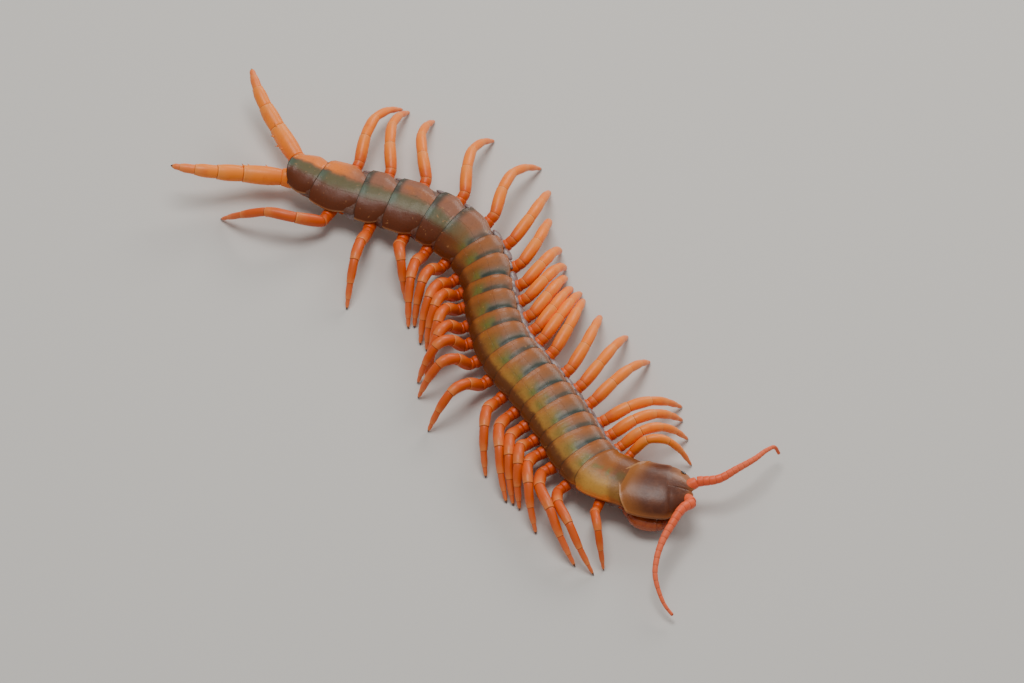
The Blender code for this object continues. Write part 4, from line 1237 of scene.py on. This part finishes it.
class CentipedeSizes(bpy.types.PropertyGroup):
    """Sizes that a maker may change without touching the pose."""
    plate_thickness: bpy.props.FloatProperty(
        name="Plate thickness", description="Wall of the back and belly plates",
        default=0.22 * MM, min=0.05 * MM, max=0.6 * MM, unit="LENGTH")
    plate_tuck: bpy.props.FloatProperty(
        name="Plate tuck", description="How far a back plate runs under the one in front",
        default=1.0 * MM, min=0, max=2 * MM, unit="LENGTH")
    plate_lip: bpy.props.FloatProperty(
        name="Plate lip", description="How far a back plate's rear lip lies over the next one",
        default=0.5 * MM, min=0, max=1.5 * MM, unit="LENGTH")
    neck_reach: bpy.props.FloatProperty(
        name="Neck reach", description="How far the first plate's front corners run forward under the head",
        default=4.6 * MM, min=0, max=6 * MM, unit="LENGTH")
    bead_height: bpy.props.FloatProperty(
        name="Side bead", description="Height of the bead along the side of a back plate",
        default=0.13 * MM, min=0, max=0.4 * MM, unit="LENGTH")
    plate_columns: bpy.props.IntProperty(
        name="Plate columns", description="Grid columns across a back plate", default=72, min=24, max=160)
    plate_rows: bpy.props.IntProperty(
        name="Plate rows", description="Grid rows along a back plate", default=26, min=10, max=80)
    skin_columns: bpy.props.IntProperty(
        name="Skin columns", description="Grid columns round the trunk skin", default=110, min=40, max=200)
    skin_rows: bpy.props.IntProperty(
        name="Skin rows", description="Grid rows along the trunk skin", default=420, min=120, max=700)
    leg_sides: bpy.props.IntProperty(
        name="Leg sides", description="Points round a leg", default=24, min=8, max=48)


def label(name):
    return name.replace("_", " ").capitalize()


class CentipedeTones(bpy.types.PropertyGroup):
    """Colours and gloss of every finish."""
    __annotations__ = {
        **{name: bpy.props.FloatVectorProperty(name=label(name), description=words, default=colour,
                                               subtype="COLOR", min=0, max=1)
           for name, (words, colour) in TONES.items()},
        **{name: bpy.props.FloatProperty(name=label(name), description=words, default=value, min=0, max=1,
                                         subtype="FACTOR")
           for name, (words, value) in GLOSSES.items()}}


class CENTIPEDE_OT_trunk_skin(bpy.types.Operator):
    """Make the soft skin of the trunk, which takes the place of the frame's trunk solids"""
    bl_idname = "centipede.trunk_skin"
    bl_label = "Trunk skin"

    def execute(self, context):
        finish_piece("trunk_skin", trunk_skin(context.scene.centipede_sizes), "skin", TRUNK_NODES)
        return {"FINISHED"}


class CENTIPEDE_OT_back_plates(bpy.types.Operator):
    """Make the 21 overlapping back plates"""
    bl_idname = "centipede.back_plates"
    bl_label = "Back plates"

    def execute(self, context):
        sizes = context.scene.centipede_sizes
        for number in range(1, SEGMENTS + 1):
            finish_piece(f"back_plate_{number:02d}", back_plate(number, sizes), "back",
                         thickness=sizes.plate_thickness)
        return {"FINISHED"}


class CENTIPEDE_OT_belly_plates(bpy.types.Operator):
    """Make the 21 belly plates"""
    bl_idname = "centipede.belly_plates"
    bl_label = "Belly plates"

    def execute(self, context):
        for number in range(1, SEGMENTS + 1):
            finish_piece(f"belly_plate_{number:02d}", belly_plate(number), "belly",
                         thickness=context.scene.centipede_sizes.plate_thickness)
        return {"FINISHED"}


class CENTIPEDE_OT_hips(bpy.types.Operator):
    """Make the hips that the legs grow from, the breathing holes and the side shields"""
    bl_idname = "centipede.hips"
    bl_label = "Hips"

    def execute(self, context):
        for side, word in SIDES:
            hips = bmesh.new()
            for number in range(1, SEGMENTS):
                line = Line(coxa_frame(number, side)[:2])
                rings = stub_rings(line, HIP_RINGS, 0.02, 0.4, SMALL_LEGS.get(number, 1))
                limb(line, rings, context.scene.centipede_sizes.leg_sides, hips)
            finish_piece("hips_" + word, hips, "leg_" + word)
            finish_piece("breathing_holes_" + word, breathing_holes(side), "leg_" + word)
            finish_piece("side_shields_" + word, side_shields(side), "shield_" + word)
        return {"FINISHED"}


class CENTIPEDE_OT_walking_legs(bpy.types.Operator):
    """Make the 40 jointed walking legs and their claws"""
    bl_idname = "centipede.walking_legs"
    bl_label = "Walking legs"

    def execute(self, context):
        for side, word in SIDES:
            claws = bmesh.new()
            for number in range(1, SEGMENTS):
                line = jointed_leg(leg_points(number, side), LEG_ARTICLES)[1]
                radius = LEG_RADIUS * SMALL_LEGS.get(number, 1)
                leg = limb(line, article_rings(LEG_ARTICLES, radius, line.length),
                           context.scene.centipede_sizes.leg_sides)
                name = f"leg_{word}_{number:02d}"
                finish_piece("walking_" + name, leg, "leg_" + word, (name,))
                add_claw(claws, line, LEG_ARTICLES, radius * CLAW_SIZE)
            finish_piece("leg_claws_" + word, claws, "claw")
        return {"FINISHED"}


class CENTIPEDE_OT_last_legs(bpy.types.Operator):
    """Make the stout last pair of legs with their spines, claws and swollen hips"""
    bl_idname = "centipede.last_legs"
    bl_label = "Last legs"

    def execute(self, context):
        claws = bmesh.new()
        for side, word in SIDES:
            points = points_in_metres(ULTIMATE_LEFT if side > 0 else ULTIMATE_RIGHT)
            smooth, line = jointed_leg(points, ULTIMATE_ARTICLES)
            leg = limb(line, article_rings(ULTIMATE_ARTICLES, ULTIMATE_RADIUS, line.length),
                       context.scene.centipede_sizes.leg_sides + 4)
            for share, angle in ULTIMATE_SPINES:
                add_spine(leg, line, share, angle, side)
            finish_piece("last_leg_" + word, leg, "last_leg", ("ultimate_leg_" + word,))
            add_claw(claws, line, ULTIMATE_ARTICLES, ULTIMATE_RADIUS * ULTIMATE_CLAW_SIZE)
            axis = smooth.direction(0)
            root = smooth.at(0) - axis * GAP
            hip = Line([root - axis * TAIL_STUB_LENGTH, root])
            stub = limb(hip, stub_rings(hip, LAST_HIP_RINGS, 0.02, 0.6), POINTS_ROUND["last hip"])
            finish_piece("last_hip_" + word, stub, "last_leg")
        finish_piece("last_claws", claws, "claw")
        return {"FINISHED"}


class CENTIPEDE_OT_antennae(bpy.types.Operator):
    """Make the two antennae of 18 articles and their sockets"""
    bl_idname = "centipede.antennae"
    bl_label = "Antennae"

    def execute(self, context):
        sockets = bmesh.new()
        for side, word in SIDES:
            seat, root, axis, points = antenna_points(side)
            line = Line(smooth_line(points))
            feeler = limb(line, antenna_rings(line.length), POINTS_ROUND["antenna"])
            finish_piece("feeler_" + word, feeler, "antenna", ("antenna_" + word,))
            base = Line([seat - axis * SOCKET_DEPTH, root])
            limb(base, stub_rings(base, SOCKET_RINGS, 0.02, 0.3), POINTS_ROUND["socket"], sockets)
        finish_piece("feeler_sockets", sockets, "antenna")
        return {"FINISHED"}


class CENTIPEDE_OT_head(bpy.types.Operator):
    """Make the head shield, the body under it and the palps"""
    bl_idname = "centipede.head"
    bl_label = "Head"

    def execute(self, context):
        shield = bent_sheet(*HEAD_GRID, head_shield, ("along", "across", "edge"))
        face_away(shield, head_point(0.5, 0, -4))
        finish_piece("head_shield", shield, "head", ("head",), thickness=HEAD_WALL)
        core = bent_sheet(*CORE_GRID, head_core, ("share", "joint"))
        close_tube(core)
        finish_piece("head_underside", core, "jaw")
        palps = bmesh.new()
        for side in (1, -1):
            path = [head_point(share, side * out, height) for share, out, height in PALP_PATH]
            line = Line(smooth_line(path))
            rings = article_rings(PALP_ARTICLES, PALP_RADIUS, line.length)
            limb(line, rings, POINTS_ROUND["palp"], palps)
        finish_piece("mouth_palps", palps, "leg_left")
        return {"FINISHED"}


class CENTIPEDE_OT_ocelli(bpy.types.Operator):
    """Make the four small lenses on each side of the head"""
    bl_idname = "centipede.ocelli"
    bl_label = "Ocelli"

    def execute(self, context):
        share, outward, height = OCELLI_PLACE
        aside, rise, forward = OCELLI_LOOK
        for side, word in SIDES:
            place = head_point(share, outward * side / MM, height)
            centre, left, ahead = head_frame(share)
            look = (left * side * aside + HEAD_UP * rise + ahead * forward).normalized()
            across = look.orthogonal().normalized()
            tilt = look.to_track_quat("Z", "Y").to_matrix().to_4x4() @ Matrix.Diagonal((1, 1, OCELLUS_FLAT, 1))
            bm = bmesh.new()
            for index in range(4):
                turn = Matrix.Rotation(math.radians(45 + 90 * index), 3, look)
                spot = place + look * OCELLI_OUT + turn @ across * OCELLUS_SPREAD
                bmesh.ops.create_uvsphere(bm, u_segments=20, v_segments=14, radius=OCELLUS_RADIUS,
                                          matrix=Matrix.Translation(spot) @ tilt)
            finish_piece("eyes_" + word, bm, "eye", ("ocelli_" + word,))
        return {"FINISHED"}


class CENTIPEDE_OT_forcipules(bpy.types.Operator):
    """Make the two poison claws, the shield that carries them and its tooth plates"""
    bl_idname = "centipede.forcipules"
    bl_label = "Poison claws"

    def execute(self, context):
        base = bent_sheet(*JAW_GRID, jaw_base, ("share", "joint"))
        close_tube(base)
        for side in (1, -1):
            line = jaw_stub(side)
            limb(line, stub_rings(line, JAW_STUB_RINGS, 0.1, 0), POINTS_ROUND["jaw stub"], base,
                 names=("share", "joint"))
        finish_piece("claw_shield", base, "jaw", ("forcipule_base",))
        teeth = bmesh.new()
        for side, word in SIDES:
            add_teeth(teeth, side)
            finish_piece("poison_claw_" + word, poison_claw(side), "jaw", ("forcipule_" + word,))
        finish_piece("tooth_plates", teeth, "jaw")
        return {"FINISHED"}


def aim(thing, place, back):
    """Puts a lamp or the camera at a place. Back is the direction behind it."""
    thing.location = place
    thing.rotation_euler = (-back).to_track_quat("-Z", "Y").to_euler()


def soft_light(name, place, width, height, energy, colour):
    """An oval soft light that looks at the middle of the floor."""
    light = bpy.data.lights.new(name, "AREA")
    light.shape = "ELLIPSE"
    light.size, light.size_y = width, height
    light.energy = energy
    light.color = colour
    aim(linked(name, light), place, Vector(place))


class CENTIPEDE_OT_stage(bpy.types.Operator):
    """Make the pale floor, the soft lights and the camera"""
    bl_idname = "centipede.stage"
    bl_label = "Stage"

    def execute(self, context):
        bm = bmesh.new()
        bmesh.ops.create_grid(bm, x_segments=1, y_segments=1, size=FLOOR_SIZE)
        pale = Finish("pale floor")
        pale.shade(base_color=FLOOR_COLOUR, roughness=FLOOR_ROUGHNESS)
        floor = mesh_object("floor", bm, pale.material)
        floor.location.z = -FLOOR_DROP
        azimuth, elevation = (math.radians(angle) for angle in CAMERA_VIEW)
        back = Vector((math.sin(azimuth) * math.cos(elevation), -math.cos(azimuth) * math.cos(elevation),
                       math.sin(elevation)))
        camera = linked("camera", bpy.data.cameras.new("camera"))
        camera.data.lens = CAMERA_LENS
        camera.data.clip_start, camera.data.clip_end = CAMERA_CLIP
        aim(camera, CAMERA_TARGET + back * CAMERA_DISTANCE, back)
        context.scene.camera = camera
        for light in LIGHTS:
            soft_light(*light)
        world = bpy.data.worlds.new("soft room")
        world.use_nodes = True
        world.node_tree.nodes["Background"].inputs["Color"].default_value = ROOM_COLOUR
        world.node_tree.nodes["Background"].inputs["Strength"].default_value = ROOM_STRENGTH
        context.scene.world = world
        return {"FINISHED"}


OPERATORS = (CENTIPEDE_OT_stage, CENTIPEDE_OT_trunk_skin, CENTIPEDE_OT_back_plates, CENTIPEDE_OT_belly_plates,
             CENTIPEDE_OT_hips, CENTIPEDE_OT_walking_legs, CENTIPEDE_OT_last_legs, CENTIPEDE_OT_head,
             CENTIPEDE_OT_ocelli, CENTIPEDE_OT_forcipules, CENTIPEDE_OT_antennae)


class CENTIPEDE_PT_panel(bpy.types.Panel):
    """Sizes, colours and the steps that make the centipede"""
    bl_idname = "CENTIPEDE_PT_panel"
    bl_label = "Giant centipede"
    bl_space_type = "VIEW_3D"
    bl_region_type = "UI"
    bl_category = "Centipede"

    def draw(self, context):
        layout = self.layout
        for step in OPERATORS:
            layout.operator(step.bl_idname)
        for group in (context.scene.centipede_sizes, context.scene.centipede_tones):
            box = layout.box()
            for key in group.__annotations__:
                box.prop(group, key)


CLASSES = (CentipedeSizes, CentipedeTones) + OPERATORS + (CENTIPEDE_PT_panel,)


def register():
    for item in CLASSES:
        bpy.utils.register_class(item)
    bpy.types.Scene.centipede_sizes = bpy.props.PointerProperty(type=CentipedeSizes)
    bpy.types.Scene.centipede_tones = bpy.props.PointerProperty(type=CentipedeTones)


def unregister():
    del bpy.types.Scene.centipede_tones
    del bpy.types.Scene.centipede_sizes
    for item in reversed(CLASSES):
        bpy.utils.unregister_class(item)


def main():
    register()
    for step in OPERATORS:
        group, name = step.bl_idname.split(".")
        getattr(getattr(bpy.ops, group), name)()


if __name__ == "__main__":
    main()
